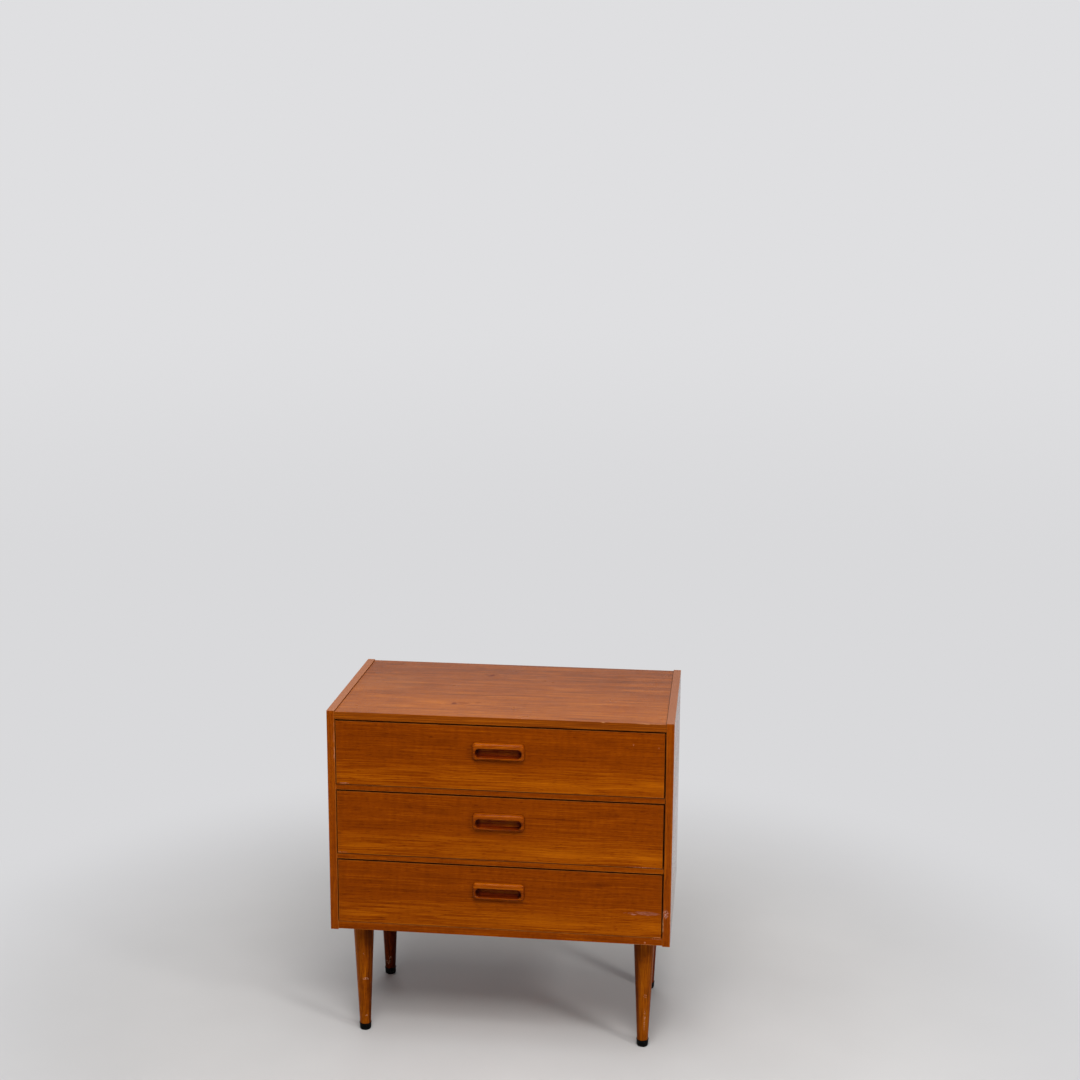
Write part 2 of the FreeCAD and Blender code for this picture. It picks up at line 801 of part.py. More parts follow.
def make_front(drawer, low, front, mortise):
    """A drawer's front: dovetail sockets at its ends, a groove and the pull's mortise."""
    board = block(f"{drawer}_board", ("-drawer_x", "drawer_x"), ("face_y", "root_y"), front)
    board = rounded(board, "edge_radius", lies_at("Y", "face_y"))
    sockets = []
    for sign in SIDES.values():
        run = FreeCAD.Vector(sign * number("drawer_board + joint_play"), 0, 0)
        for corners in tail_corners(low, "joint_play"):
            spots = [point(f"{sign} * (box_x - joint_play)", y, z) for y, z in corners]
            face = Part.Face(Part.makePolygon(spots + spots[:1]))
            sockets.append(face.extrude(run * 1.01))
    groove = block(
        f"{drawer}_front_groove",
        ("-box_x", "box_x"),
        ("root_y - groove_depth", "root_y"),
        ply_groove(low),
    )
    board = cut(f"{drawer}_socketed", board, feature(f"{drawer}_sockets", sockets))
    board = cut(f"{drawer}_grooved", board, groove)
    node(f"{drawer}_front", cut(f"{drawer}_front", board, mortise))


def ply_groove(low):
    """The height range of the grooves for a drawer's bottom."""
    return (f"{low} + ply_lift - joint_play", f"{low} + ply_lift + ply_thickness + joint_play")


def brad_spots(low):
    """Start and direction of the pins in a drawer's back, from its sides and from below."""
    spots = []
    middle_y = "box_back_y - drawer_board / 2"
    back_low = f"({low} + ply_lift + ply_thickness)"
    back_high = f"({low} + box_height - back_drop)"
    for sign in SIDES.values():
        for share in ("1 / 4", "3 / 4"):
            height = f"{back_low} + ({back_high} - {back_low}) * {share}"
            start = point(f"{sign} * drawer_x", middle_y, height)
            spots.append((start, FreeCAD.Vector(-sign, 0, 0)))
    for share in ("-2 / 3", "0", "2 / 3"):
        spots.append((point(f"{share} * box_x", middle_y, f"{low} + ply_lift"), UP))
    return spots


def make_drawer_sides(drawer, low, brads):
    """A drawer's two sides, with dovetails, a groove and a housing for the back."""
    tails = [corner for tail in tail_corners(low, "0") for corner in tail]
    for side, sign in SIDES.items():
        name = f"{drawer}_{side}_side"
        body = DOC.addObject("PartDesign::Body", f"{name}_body")
        corners = [("end_y", low), ("root_y", low)] + tails
        corners += [("root_y", f"{low} + box_height"), ("end_y", f"{low} + box_height")]
        sketch = outline(body, f"{name}_outline", "YZ_Plane", corners)
        pad = body.newObject("PartDesign::Pad", f"{name}_pad")
        pad.Profile = sketch
        bind(pad, Length="drawer_board")
        x = sorted((f"{sign} * drawer_x", f"{sign} * box_x"), key=number)
        place(body, x[0], "0", "0")
        deep = sorted((f"{sign} * box_x", f"{sign} * (box_x + groove_depth)"), key=number)
        groove_y = ("root_y - groove_depth", "end_y")
        groove = block(f"{name}_groove", deep, groove_y, ply_groove(low))
        shallow = sorted((f"{sign} * box_x", f"{sign} * (box_x + housing_depth)"), key=number)
        housing = block(
            f"{name}_housing",
            shallow,
            ("box_back_y - drawer_board - joint_play", "box_back_y + joint_play"),
            (f"{low} + ply_lift", f"{low} + box_height"),
        )
        board = cut(f"{name}_grooved", body, fuse(f"{name}_channels", groove, housing))
        drills = feature(f"{name}_drills", near(brads, sign))
        node(name, cut(name, board, drills))


def make_drawer_box(drawer, low, brads):
    """A drawer's back and thin bottom, with the pins that hold them."""
    reach = "box_x + housing_depth - joint_play"
    back = block(
        f"{drawer}_back_board",
        (f"-({reach})", reach),
        ("box_back_y - drawer_board", "box_back_y"),
        (f"{low} + ply_lift + ply_thickness", f"{low} + box_height - back_drop"),
    )
    node(f"{drawer}_back", cut(f"{drawer}_back", back, feature(f"{drawer}_back_drills", brads)))
    spread = "box_x + groove_depth - joint_play"
    sheet = block(
        f"{drawer}_ply",
        (f"-({spread})", spread),
        ("root_y - groove_depth + joint_play", "box_back_y"),
        (f"{low} + ply_lift", f"{low} + ply_lift + ply_thickness"),
    )
    drills = feature(f"{drawer}_ply_drills", brads)
    node(f"{drawer}_bottom", cut(f"{drawer}_bottom", sheet, drills))


def make_drawer(drawer, level):
    """One drawer, closed."""
    low = f"({level_z(level)} + slide_play)"
    front_top = f"({level_z(level)} + opening - front_top_gap)"
    front = (f"{level_z(level)} + front_bottom_gap", front_top)
    spots = brad_spots(low)
    brads = holes_at(hole("brad_diameter", "brad_length"), spots)
    make_front(drawer, low, front, make_pull(drawer, front_top))
    make_drawer_sides(drawer, low, brads)
    make_drawer_box(drawer, low, brads)
    pins = holes_at(rod("brad_diameter", "brad_length"), spots)
    node(f"{drawer}_pins", feature(f"{drawer}_pins", pins))


def check_and_write():
    """Stop on any failed object or shape, then write one STEP file for each node."""
    DOC.recompute()
    for thing in DOC.Objects:
        if {"Invalid", "Error"} & set(thing.State):
            raise RuntimeError(f"{thing.Name} failed: {thing.State}")
    for thing in NODES:
        if thing.Shape.isNull() or not thing.Shape.isValid():
            raise RuntimeError(f"{thing.Label} has no valid shape")
    os.makedirs("parts", exist_ok=True)
    for thing in NODES:
        thing.Shape.exportStep(f"parts/{thing.Label}.step")
        print(f"{thing.Label}: {len(thing.Shape.Solids)} solid(s), {thing.Shape.Volume:.0f} mm3")


def main():
    fill_sheet()
    holes = joinery_holes()
    make_sides(holes)
    make_panels(holes)
    make_back(holes)
    make_rails_and_runners(holes)
    make_stops()
    make_joinery()
    make_legs()
    for level, name in enumerate(DRAWERS):
        make_drawer(f"{name}_drawer", level)
    check_and_write()


main()
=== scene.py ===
"""The look of a low teak chiffonier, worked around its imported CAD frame.

Lengths are in metres, +Z is up and the drawers open towards -Y. Colours are written as
they read on a screen, 0 to 255, and srgb() turns them into the numbers that shaders take.
"""

import math
from typing import NamedTuple

import bmesh
import bpy
from mathutils import Matrix, Vector


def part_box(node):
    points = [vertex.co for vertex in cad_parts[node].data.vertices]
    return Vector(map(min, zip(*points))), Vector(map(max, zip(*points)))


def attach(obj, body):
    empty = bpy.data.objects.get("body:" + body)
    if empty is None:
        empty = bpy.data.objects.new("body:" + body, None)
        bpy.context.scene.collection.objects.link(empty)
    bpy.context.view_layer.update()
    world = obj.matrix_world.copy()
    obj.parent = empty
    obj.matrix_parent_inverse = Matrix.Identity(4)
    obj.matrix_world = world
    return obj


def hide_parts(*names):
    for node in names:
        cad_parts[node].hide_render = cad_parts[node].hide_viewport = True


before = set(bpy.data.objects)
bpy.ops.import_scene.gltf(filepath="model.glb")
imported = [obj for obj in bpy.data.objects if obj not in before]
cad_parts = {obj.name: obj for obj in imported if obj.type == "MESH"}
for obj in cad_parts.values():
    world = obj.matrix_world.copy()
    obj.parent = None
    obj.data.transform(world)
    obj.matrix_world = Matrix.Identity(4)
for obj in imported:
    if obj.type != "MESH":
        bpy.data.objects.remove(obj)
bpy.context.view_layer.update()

MM = 0.001
DRAWERS = ("bottom_drawer", "middle_drawer", "top_drawer")
CORNERS = ("front_left", "front_right", "rear_left", "rear_right")


# ---------------------------------------------------------------------------
# Short calls for building a material
# ---------------------------------------------------------------------------


def srgb(red, green, blue):
    """A screen colour, 0 to 255 a channel, as the linear colour that a shader takes."""

    def linear(value):
        share = value / 255.0
        if share <= 0.04045:
            return share / 12.92
        return ((share + 0.055) / 1.055) ** 2.4

    return (linear(red), linear(green), linear(blue), 1.0)


class Shader:
    """A material in the making. Its places are the CAD frame's, so figure stays on the wood."""

    def __init__(self, name):
        self.material = bpy.data.materials.new(name)
        self.material.use_nodes = True
        self.tree = self.material.node_tree
        self.tree.nodes.clear()
        self.place = self.node("TexCoord").outputs["Object"]
        parts = self.node("SeparateXYZ", Vector=self.place)
        self.x, self.y, self.z = parts.outputs

    def node(self, kind, settings=None, **inputs):
        """Adds a node, sets its settings and feeds its named inputs."""
        made = self.tree.nodes.new("ShaderNode" + kind)
        for key, value in (settings or {}).items():
            setattr(made, key, value)
        for key, value in inputs.items():
            self.feed(made.inputs[key.replace("_", " ")], value)
        return made

    def feed(self, socket, value):
        """Links another node's output to the socket, or sets a plain value on it."""
        if isinstance(value, bpy.types.NodeSocket):
            self.tree.links.new(value, socket)
        else:
            socket.default_value = value

    def maths(self, operation, *values):
        made = self.node("Math", {"operation": operation})
        for socket, value in zip(made.inputs, values):
            self.feed(socket, value)
        return made.outputs[0]

    def add(self, *values):
        total = values[0]
        for value in values[1:]:
            total = self.maths("ADD", total, value)
        return total

    def times(self, *values):
        total = values[0]
        for value in values[1:]:
            total = self.maths("MULTIPLY", total, value)
        return total

    def vector(self, operation, first, second):
        made = self.node("VectorMath", {"operation": operation})
        self.feed(made.inputs[0], first)
        self.feed(made.inputs[1], second)
        return made.outputs["Vector"]

    def length(self, first):
        made = self.node("VectorMath", {"operation": "LENGTH"})
        self.feed(made.inputs[0], first)
        return made.outputs["Value"]

    def join(self, x, y, z):
        return self.node("CombineXYZ", X=x, Y=y, Z=z).outputs[0]

    def noise(self, place, frequency, detail=2.0, roughness=0.5):
        """Noise from 0 to 1, with so many patches to the metre along each axis."""
        scaled = self.vector("MULTIPLY", place, frequency)
        made = self.node("TexNoise", Vector=scaled, Scale=1.0, Detail=detail, Roughness=roughness)
        return made.outputs[0]

    def swing(self, place, frequency, amount, detail=2.0, roughness=0.5):
        """Noise that swings round 0 by about half the amount either way."""
        value = self.noise(place, frequency, detail, roughness)
        return self.maths("MULTIPLY", self.maths("SUBTRACT", value, 0.5), amount)

    def fade(self, value, start, end):
        """0 up to start and 1 from end on, smooth between; start may be the larger."""
        made = self.node("MapRange", {"interpolation_type": "SMOOTHSTEP"}, Value=value)
        self.feed(made.inputs["From Min"], start)
        self.feed(made.inputs["From Max"], end)
        return made.outputs[0]

    def mix(self, factor, below, above, blend="MIX"):
        """Mixes two colours: below where the factor is 0, above where it is 1."""
        made = self.node("Mix", {"data_type": "RGBA", "blend_type": blend})
        self.feed(made.inputs[0], factor)
        self.feed(made.inputs[6], below)
        self.feed(made.inputs[7], above)
        return made.outputs[2]

    def ramp(self, value, *stops):
        """A colour from the value, through (value, colour) stops."""
        made = self.node("ValToRGB", Fac=value)
        elements = made.color_ramp.elements
        while len(elements) < len(stops):
            elements.new(0.5)
        for element, (position, color) in zip(elements, stops):
            element.position = position
            element.color = color
        return made.outputs[0]

    def surface(self, color, roughness, gloss, height=None, relief=0.1 * MM, metallic=0.0):
        """Ends the material: a shaded surface whose relief is as deep as the height's 0 to 1."""
        made = self.node("BsdfPrincipled", Base_Color=color, Roughness=roughness, Metallic=metallic)
        made.inputs["Specular IOR Level"].default_value = gloss
        if height is not None:
            bump = self.node("Bump", Height=height, Distance=relief, Strength=1.0)
            self.feed(made.inputs["Normal"], bump.outputs[0])
        output = self.node("OutputMaterial")
        self.tree.links.new(made.outputs[0], output.inputs["Surface"])
        return self.material


# ---------------------------------------------------------------------------
# Wear, dirt, painted shade and painted light
# ---------------------------------------------------------------------------


# Dark brown: the dirt in the top's joints and the dust in the drawers, and also the colour of the painted
# shade in the gaps, on the ledges and round the pulls.
GRIME_AND_SHADE = (30, 9, 1)
WHITE_SCRAPE = (190, 140, 124)
PALE_CHIP = (188, 128, 96)
RUBBED_EDGE = (222, 176, 134)
# Pale wear, which also serves as a painted highlight on the top's front edge and a painted reflection low
# on the right side.
RUBBED_PALE_AND_SHEEN = (206, 150, 104)
WORN_EDGE = (200, 148, 108)

# Patches to the metre along x, y and z. The fewer along an axis, the longer they are that way.
FINE_GRIT = (900.0, 900.0, 900.0)
STREAKY = (90.0, 900.0, 620.0)
LONG_STREAKY = (90.0, 900.0, 900.0)
UPRIGHT_STREAKY = (900.0, 900.0, 90.0)

# How far a mark goes into the wood, on an upright face and on the top.
FACE_DEPTH = 3 * MM
SKIN_DEPTH = 4 * MM


class Mark(NamedTuple):
    """A spot of wear, dirt, painted shade or painted light: within reach of a point, patches take another
    colour.
    """

    at: tuple
    reach: tuple
    color: tuple
    cover: float = 0.5
    grit: tuple = FINE_GRIT
    strength: float = 1.0


def mark_mask(s, mark):
    """1 inside the spot's patches, 0 outside them."""
    offset = s.vector("SUBTRACT", s.place, mark.at)
    near = s.times(s.fade(s.length(s.vector("DIVIDE", offset, mark.reach)), 1.0, 0.45), mark.strength)
    if mark.cover >= 1.0:
        return near
    patches = s.noise(s.place, mark.grit, detail=3.0, roughness=0.6)
    limit = 0.72 - 0.44 * mark.cover
    return s.times(near, s.fade(patches, limit, limit + 0.10))


def edge_distance(s, low, high):
    """How far a point of a board's surface is from the nearest edge of the board."""
    middle = (low + high) / 2.0
    half = (high - low) / 2.0
    gaps = []
    for value, centre, reach in zip((s.x, s.y, s.z), middle, half):
        off = s.maths("ABSOLUTE", s.maths("SUBTRACT", value, centre))
        gaps.append(s.maths("SUBTRACT", reach, off))
    first, second, third = gaps
    lesser = s.maths("MINIMUM", first, second)
    greater = s.maths("MAXIMUM", first, second)
    return s.maths("MAXIMUM", lesser, s.maths("MINIMUM", greater, third))


# ---------------------------------------------------------------------------
# Woods
# ---------------------------------------------------------------------------


class Wood(NamedTuple):
    """A kind of wood: its colours, how strong each part of its figure is, and its surface."""

    dark: tuple
    middle: tuple
    light: tuple
    streak: float = 0.38
    stripe: float = 0.95
    thread: float = 0.85
    cloud: float = 0.24
    mottle: float = 0.22
    pore: float = 0.30
    worn: tuple = (176, 104, 40)
    roughness: float = 0.36
    gloss: float = 0.025
    relief: float = 0.12 * MM


TEAK = Wood(dark=(84, 28, 0), middle=(134, 58, 0), light=(176, 92, 4))
TEAK_FRONT = TEAK._replace(streak=0.16, stripe=0.55, thread=1.15, cloud=0.16, mottle=0.15)
TEAK_EDGE = TEAK._replace(streak=0.4, cloud=0.12, stripe=0.6, thread=0.6)
TEAK_TOP = TEAK._replace(
    dark=(88, 40, 6),
    middle=(136, 68, 14),
    light=(172, 98, 26),
    streak=0.36,
    stripe=1.05,
    thread=1.3,
    cloud=0.30,
    mottle=0.14,
    pore=0.30,
    worn=(172, 98, 36),
    roughness=0.30,
    gloss=0.050,
)
TEAK_SIDE = TEAK_EDGE._replace(gloss=0.04)
TEAK_TURNED = TEAK._replace(
    dark=(84, 34, 0),
    middle=(138, 66, 2),
    light=(176, 98, 6),
    streak=0.5,
    cloud=0.25,
    roughness=0.30,
    gloss=0.03,
)
# A darker copy of the turned teak for the rear legs: painted shade.
TEAK_TURNED_SHADED = TEAK_TURNED._replace(dark=(66, 18, 0), middle=(126, 48, 0))
TEAK_PULL = TEAK._replace(streak=0.45, cloud=0.25, roughness=0.09, gloss=0.045)
# A darker, redder copy of teak for the inside of the pull's recess: painted shade.
TEAK_RECESS = TEAK._replace(dark=(60, 14, 0), middle=(118, 38, 3), thread=0.9, roughness=0.30, gloss=0.04)
BIRCH = Wood(
    dark=(160, 114, 68),
    middle=(204, 162, 110),
    light=(224, 190, 142),
    streak=0.75,
    stripe=0.6,
    cloud=0.4,
    mottle=0.15,
    pore=0.14,
    thread=0.2,
    worn=(226, 200, 164),
    roughness=0.62,
    gloss=0.25,
)
BEECH = BIRCH._replace(dark=(158, 106, 66), middle=(200, 148, 102), light=(222, 178, 134), pore=0.2)
PLY = BIRCH._replace(dark=(166, 118, 72), middle=(206, 164, 112), light=(226, 190, 142), pore=0.12)


class Knot(NamedTuple):
    """A knot in a level board: the grain parts round it."""

    x: float
    y: float
    reach_x: float
    reach_y: float


def grain_place(s, along, seed, base_z=0.0, knots=()):
    """Places whose x runs with the grain, bent a little so that no line is dead straight.

    Heights count from base_z, so boards from one flitch can share their figure.
    """
    z = s.maths("SUBTRACT", s.z, base_z)
    order = {"x": (s.x, s.y, z), "y": (s.y, s.x, z), "z": (z, s.y, s.x)}[along]
    straight = s.vector("ADD", s.join(*order), (3.7 * seed, 1.3 * seed, 2.1 * seed))
    bend = s.swing(straight, (3.0, 5.0, 5.0), 14.0 * MM, detail=1.0)
    sway = s.swing(straight, (11.0, 16.0, 16.0), 3.0 * MM, detail=1.0)
    shift = s.add(bend, sway)
    for knot in knots:
        off_x = s.maths("SUBTRACT", s.x, knot.x)
        off_y = s.maths("SUBTRACT", s.y, knot.y)
        far = s.length(s.join(s.times(off_x, 1.0 / knot.reach_x), s.times(off_y, 1.0 / knot.reach_y), 0.0))
        shift = s.add(shift, s.times(off_y, s.fade(far, 1.0, 0.0), -0.8))
    return s.vector("ADD", straight, s.join(0.0, shift, shift))


def figure(s, wood, place, tone, stripe_share=1.0, mottle_share=1.0):
    """The wood's tone at each point, 0 dark to 1 light, and the pores in it."""
    streak = s.swing(place, (2.2, 42.0, 42.0), wood.streak, detail=6.0, roughness=0.62)
    stripe = s.swing(place, (2.6, 290.0, 290.0), wood.stripe, detail=2.0, roughness=0.6)
    thread = s.swing(place, (5.0, 640.0, 640.0), wood.thread, detail=1.0)
    cloud = s.swing(place, (9.0, 30.0, 30.0), wood.cloud, detail=3.0, roughness=0.6)
    mottle = s.swing(place, (115.0, 26.0, 26.0), wood.mottle, detail=2.0)
    grains = s.noise(place, (75.0, 1300.0, 1300.0), detail=2.0)
    pores = s.fade(grains, 0.57, 0.68)
    total = s.add(
        tone,
        streak,
        s.times(s.add(stripe, thread), stripe_share),
        cloud,
        s.times(mottle, mottle_share),
        s.times(pores, -wood.pore),
    )
    return total, pores


def wood_color(s, wood, tone):
    """The wood's colour for a tone."""
    return s.ramp(
        tone,
        (0.0, srgb(*wood.dark)),
        (0.5, srgb(*wood.middle)),
        (1.0, srgb(*wood.light)),
    )


def wood_finish(
    name,
    wood,
    along,
    seed,
    tone=0.5,
    box=None,
    marks=(),
    shares=(1.0, 1.0),
    shade_and_dust=None,
    base_z=0.0,
    knots=(),
    polish=None,
):
    """A wood material. tone is a number, or a function that works it out from the shader.

    So are both shares, the darkening towards dark brown, 0 to 1 at each point: dust in the drawers, painted
    shade on the fronts and ledges; and polish, by how much it is smoother there.
    """
    s = Shader(name)
    place = grain_place(s, along, seed, base_z, knots)
    level = tone(s) if callable(tone) else tone
    parts = [share(s) if callable(share) else share for share in shares]
    total, pores = figure(s, wood, place, level, *parts)
    color = wood_color(s, wood, total)
    rough = s.add(wood.roughness, s.swing(s.place, (30.0, 30.0, 30.0), 0.12, detail=3.0))
    if polish:
        rough = s.maths("SUBTRACT", rough, polish(s))
    if box:
        ragged = s.add(edge_distance(s, *box), s.swing(s.place, (70.0, 70.0, 70.0), 1.6 * MM))
        rubbed = s.times(s.fade(ragged, 1.5 * MM, 0.3 * MM), 0.5)
        color = s.mix(rubbed, color, srgb(*wood.worn))
        rough = s.add(rough, s.times(rubbed, 0.15))
    if shade_and_dust:
        color = s.mix(shade_and_dust(s), color, srgb(*GRIME_AND_SHADE))
    for mark in marks:
        mask = mark_mask(s, mark)
        color = s.mix(mask, color, srgb(*mark.color))
        rough = s.add(rough, s.times(mask, 0.2))
    height = s.maths("SUBTRACT", s.times(total, 0.3), s.times(pores, 0.7))
    return s.surface(color, rough, wood.gloss, height, wood.relief)


# ---------------------------------------------------------------------------
# Other materials
# ---------------------------------------------------------------------------


def steel_finish(name, seed, tone=(150, 150, 148)):
    """Dull plated steel with stains, fine scratches and a little rust in the pits."""
    s = Shader(name)
    place = s.vector("ADD", s.place, (seed, seed, seed))
    stain = s.noise(place, (90.0, 90.0, 90.0), detail=5.0, roughness=0.6)
    scratch = s.noise(place, (60.0, 2400.0, 2400.0), detail=2.0)
    color = s.ramp(stain, (0.3, srgb(104, 102, 98)), (0.55, srgb(*tone)), (0.8, srgb(186, 186, 184)))
    pits = s.fade(s.noise(place, (420.0, 420.0, 420.0), detail=4.0), 0.64, 0.74)
    color = s.mix(s.times(pits, 0.7), color, srgb(98, 62, 40))
    rough = s.add(0.34, s.times(stain, 0.22), s.times(pits, 0.3))
    height = s.add(s.times(scratch, 0.4), s.times(pits, -0.5))
    metal = s.maths("SUBTRACT", 1.0, s.times(pits, 0.8))
    return s.surface(color, rough, 0.5, height, 0.05 * MM, metal)


def plastic_finish(name, seed, floor_z):
    """Moulded black plastic, scuffed grey and dusty towards the floor."""
    s = Shader(name)
    place = s.vector("ADD", s.place, (seed, seed, seed))
    grain = s.noise(place, (1600.0, 1600.0, 1600.0), detail=3.0)
    cloud = s.noise(place, (120.0, 120.0, 60.0), detail=4.0)
    color = s.ramp(cloud, (0.3, srgb(3, 3, 3)), (0.7, srgb(8, 8, 8)))
    scuffs = s.fade(s.noise(place, (260.0, 260.0, 900.0), detail=4.0), 0.6, 0.7)
    low = s.fade(s.z, floor_z + 6.0 * MM, floor_z)
    dust = s.times(s.add(s.times(scuffs, 0.3), s.times(low, cloud, 0.35)), 0.5)
    color = s.mix(dust, color, srgb(70, 67, 62))
    rough = s.add(0.42, s.times(cloud, 0.12), s.times(dust, 0.5))
    return s.surface(color, rough, 0.05, s.add(s.times(grain, 0.5), s.times(scuffs, 0.5)), 0.06 * MM)


# ---------------------------------------------------------------------------
# Carried-over CAD parts
# ---------------------------------------------------------------------------


def dress(node, material):
    """Gives a CAD node this finish in every material slot that it has."""
    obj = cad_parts[node]
    if not obj.material_slots:
        obj.data.materials.append(material)
    for slot in obj.material_slots:
        slot.material = material


def smooth_tone(start, end, low, high, axis="z"):
    """A tone that passes from low at start to high at end along an axis, its line wavering."""

    def tone(s):
        value = {"x": s.x, "y": s.y, "z": s.z}[axis]
        waver = s.swing(s.place, (5.0, 5.0, 25.0), 26.0 * MM, detail=3.0)
        return s.add(low, s.times(s.fade(s.add(value, waver), start, end), high - low))

    return tone


# The radius of the corners of a pull's outline.
PULL_CORNER = 7.5 * MM


class Band(NamedTuple):
    """A lighter or darker streak in the flitch, placed from the middle of a front's foot."""

    x: float
    z: float
    reach_x: float
    reach_z: float
    change: float


FLITCH_BANDS = (
    Band(-285 * MM, 19 * MM, 70 * MM, 8 * MM, 0.20),
    Band(-110 * MM, 46 * MM, 90 * MM, 7 * MM, 0.12),
    Band(100 * MM, 20 * MM, 120 * MM, 10 * MM, 0.14),
    Band(310 * MM, 22 * MM, 60 * MM, 15 * MM, 0.18),
    Band(-150 * MM, 18 * MM, 50 * MM, 5 * MM, -0.10),
    Band(125 * MM, 93 * MM, 90 * MM, 5 * MM, -0.20),
    Band(-115 * MM, 97 * MM, 55 * MM, 10 * MM, -0.12),
    Band(-268 * MM, 91 * MM, 50 * MM, 8 * MM, -0.10),
    Band(215 * MM, 110 * MM, 50 * MM, 12 * MM, -0.12),
    Band(-150 * MM, 75 * MM, 160 * MM, 5 * MM, -0.06),
)


# How light each front is, and how dark the painted shade along its lower edge is.
FRONT_TONES = {"bottom_drawer": 0.450, "middle_drawer": 0.460, "top_drawer": 0.425}
FOOT_SHADE = {"bottom_drawer": 0.32, "middle_drawer": 0.55, "top_drawer": 0.55}

# Where in the wood the fronts were cut, and how much further on for each next one.
FLITCH_SEED = 11.0
FLITCH_SHIFT = 0.0009


def front_tone(low, high, level):
    """Red-brown above and golden at the foot, more so to the right, with the flitch's bands."""
    height = high.z - low.z
    golden = smooth_tone(low.z + 0.56 * height, low.z + 0.12 * height, 0.0, 1.0)

    def tone(s):
        rightward = s.fade(s.x, low.x, high.x)
        value = s.add(level, s.times(golden(s), s.add(0.17, s.times(rightward, 0.09))))
        waver = s.swing(s.place, (6.0, 6.0, 20.0), 12.0 * MM, detail=3.0)
        up = s.maths("SUBTRACT", s.add(s.z, waver), low.z)
        for band in FLITCH_BANDS:
            off_x = s.times(s.maths("SUBTRACT", s.x, band.x), 1.0 / band.reach_x)
            off_z = s.times(s.maths("SUBTRACT", up, band.z), 1.0 / band.reach_z)
            near = s.fade(s.length(s.join(off_x, 0.0, off_z)), 1.0, 0.1)
            value = s.add(value, s.times(near, band.change))
        return value

    return tone


def front_marks(name, low, high):
    """The marks on one drawer front: chips on its edges, and scrapes on the lowest one."""
    foot = low.z + 1.5 * MM
    scrape_z = low.z + 51 * MM

    def chip(x, z, wide, tall, cover, strength=1.0):
        return Mark((x, low.y, z), (wide, FACE_DEPTH, tall), PALE_CHIP, cover, strength=strength)

    def scrape(inward, down, wide, tall, cover, strength):
        spot = (high.x - inward, low.y, scrape_z - down)
        return Mark(spot, (wide, FACE_DEPTH, tall), WHITE_SCRAPE, cover, STREAKY, strength)

    if name == "top_drawer":
        return [
            chip(low.x + 17 * MM, foot + 1 * MM, 13 * MM, 1.8 * MM, 0.55),
            chip(high.x - 18 * MM, foot - 1 * MM, 26 * MM, 1.1 * MM, 0.5, 0.4),
            chip(270 * MM, 676 * MM, 2.4 * MM, 3 * MM, 0.6, 0.5),
            chip(320 * MM, 671 * MM, 3 * MM, 2.4 * MM, 0.55, 0.5),
        ]
    if name == "middle_drawer":
        return [
            chip(low.x + 9 * MM, foot + 1 * MM, 14 * MM, 1.6 * MM, 0.5),
            chip(high.x - 42 * MM, foot - 1 * MM, 44 * MM, 1.2 * MM, 0.55),
        ]
    return [
        scrape(33 * MM, 0.0, 34 * MM, 6 * MM, 0.5, 0.24),
        scrape(29 * MM, 0.0, 30 * MM, 5 * MM, 1.0, 0.12),
        scrape(57 * MM, 3 * MM, 7 * MM, 2 * MM, 0.7, 0.40),
        scrape(67 * MM, 1 * MM, 14 * MM, 2 * MM, 0.6, 0.25),
        chip(high.x - 9 * MM, foot - 1 * MM, 11 * MM, 1.2 * MM, 0.6),
    ]


def oblong_distance(s, x, z, half_x, half_z, corner):
    """How far a point lies outside an upright rounded oblong; below 0 inside it."""
    over_x = s.maths("SUBTRACT", s.maths("ABSOLUTE", s.maths("SUBTRACT", s.x, x)), half_x - corner)
    over_z = s.maths("SUBTRACT", s.maths("ABSOLUTE", s.maths("SUBTRACT", s.z, z)), half_z - corner)
    outside = s.join(s.maths("MAXIMUM", over_x, 0.0), 0.0, s.maths("MAXIMUM", over_z, 0.0))
    return s.maths("SUBTRACT", s.length(outside), corner)


def front_painted_shade(name, low, high):
    """Painted shade on a front: on the edges that stand in the gaps, and in a line round the pull, darker
    towards its right end.
    """
    pull_low, pull_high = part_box(f"{name}_pull")
    half_x = (pull_high.x - pull_low.x) / 2.0
    half_z = (pull_high.z - pull_low.z) / 2.0

    def shade_and_dust(s):
        # Painted shade in the gaps: along the top edge, the foot and both ends, strongest just behind the
        # face.
        upper = s.fade(s.z, high.z - 0.8 * MM, high.z - 0.1 * MM)
        ends = s.fade(s.maths("ABSOLUTE", s.x), high.x - 0.6 * MM, high.x - 0.1 * MM)
        right_end_shade = s.fade(s.x, high.x - 1.4 * MM, high.x - 0.6 * MM)
        foot = s.times(s.fade(s.z, low.z + 1.3 * MM, low.z + 0.5 * MM), FOOT_SHADE[name])
        behind = s.add(0.30, s.times(s.fade(s.y, low.y + 10 * MM, low.y + 5 * MM), 0.65))
        upright = s.maths("MAXIMUM", ends, right_end_shade)
        rims = s.times(s.maths("MAXIMUM", s.maths("MAXIMUM", upper, foot), upright), behind)
        # Painted shade in a ragged line round the pull, beside and above it, darker towards the right.
        ring = oblong_distance(s, 0.0, (pull_low.z + pull_high.z) / 2.0, half_x, half_z, PULL_CORNER)
        ragged = s.add(ring, s.swing(s.place, (160.0, 160.0, 160.0), 1.2 * MM))
        beside = s.fade(s.z, pull_low.z - 0.5 * MM, pull_low.z + 2 * MM)
        share = s.add(0.34, s.times(s.fade(s.x, 0.5 * half_x, half_x), 0.16))
        return s.maths("MAXIMUM", rims, s.times(s.fade(ragged, 1.5 * MM, 0.2 * MM), beside, share))

    return shade_and_dust


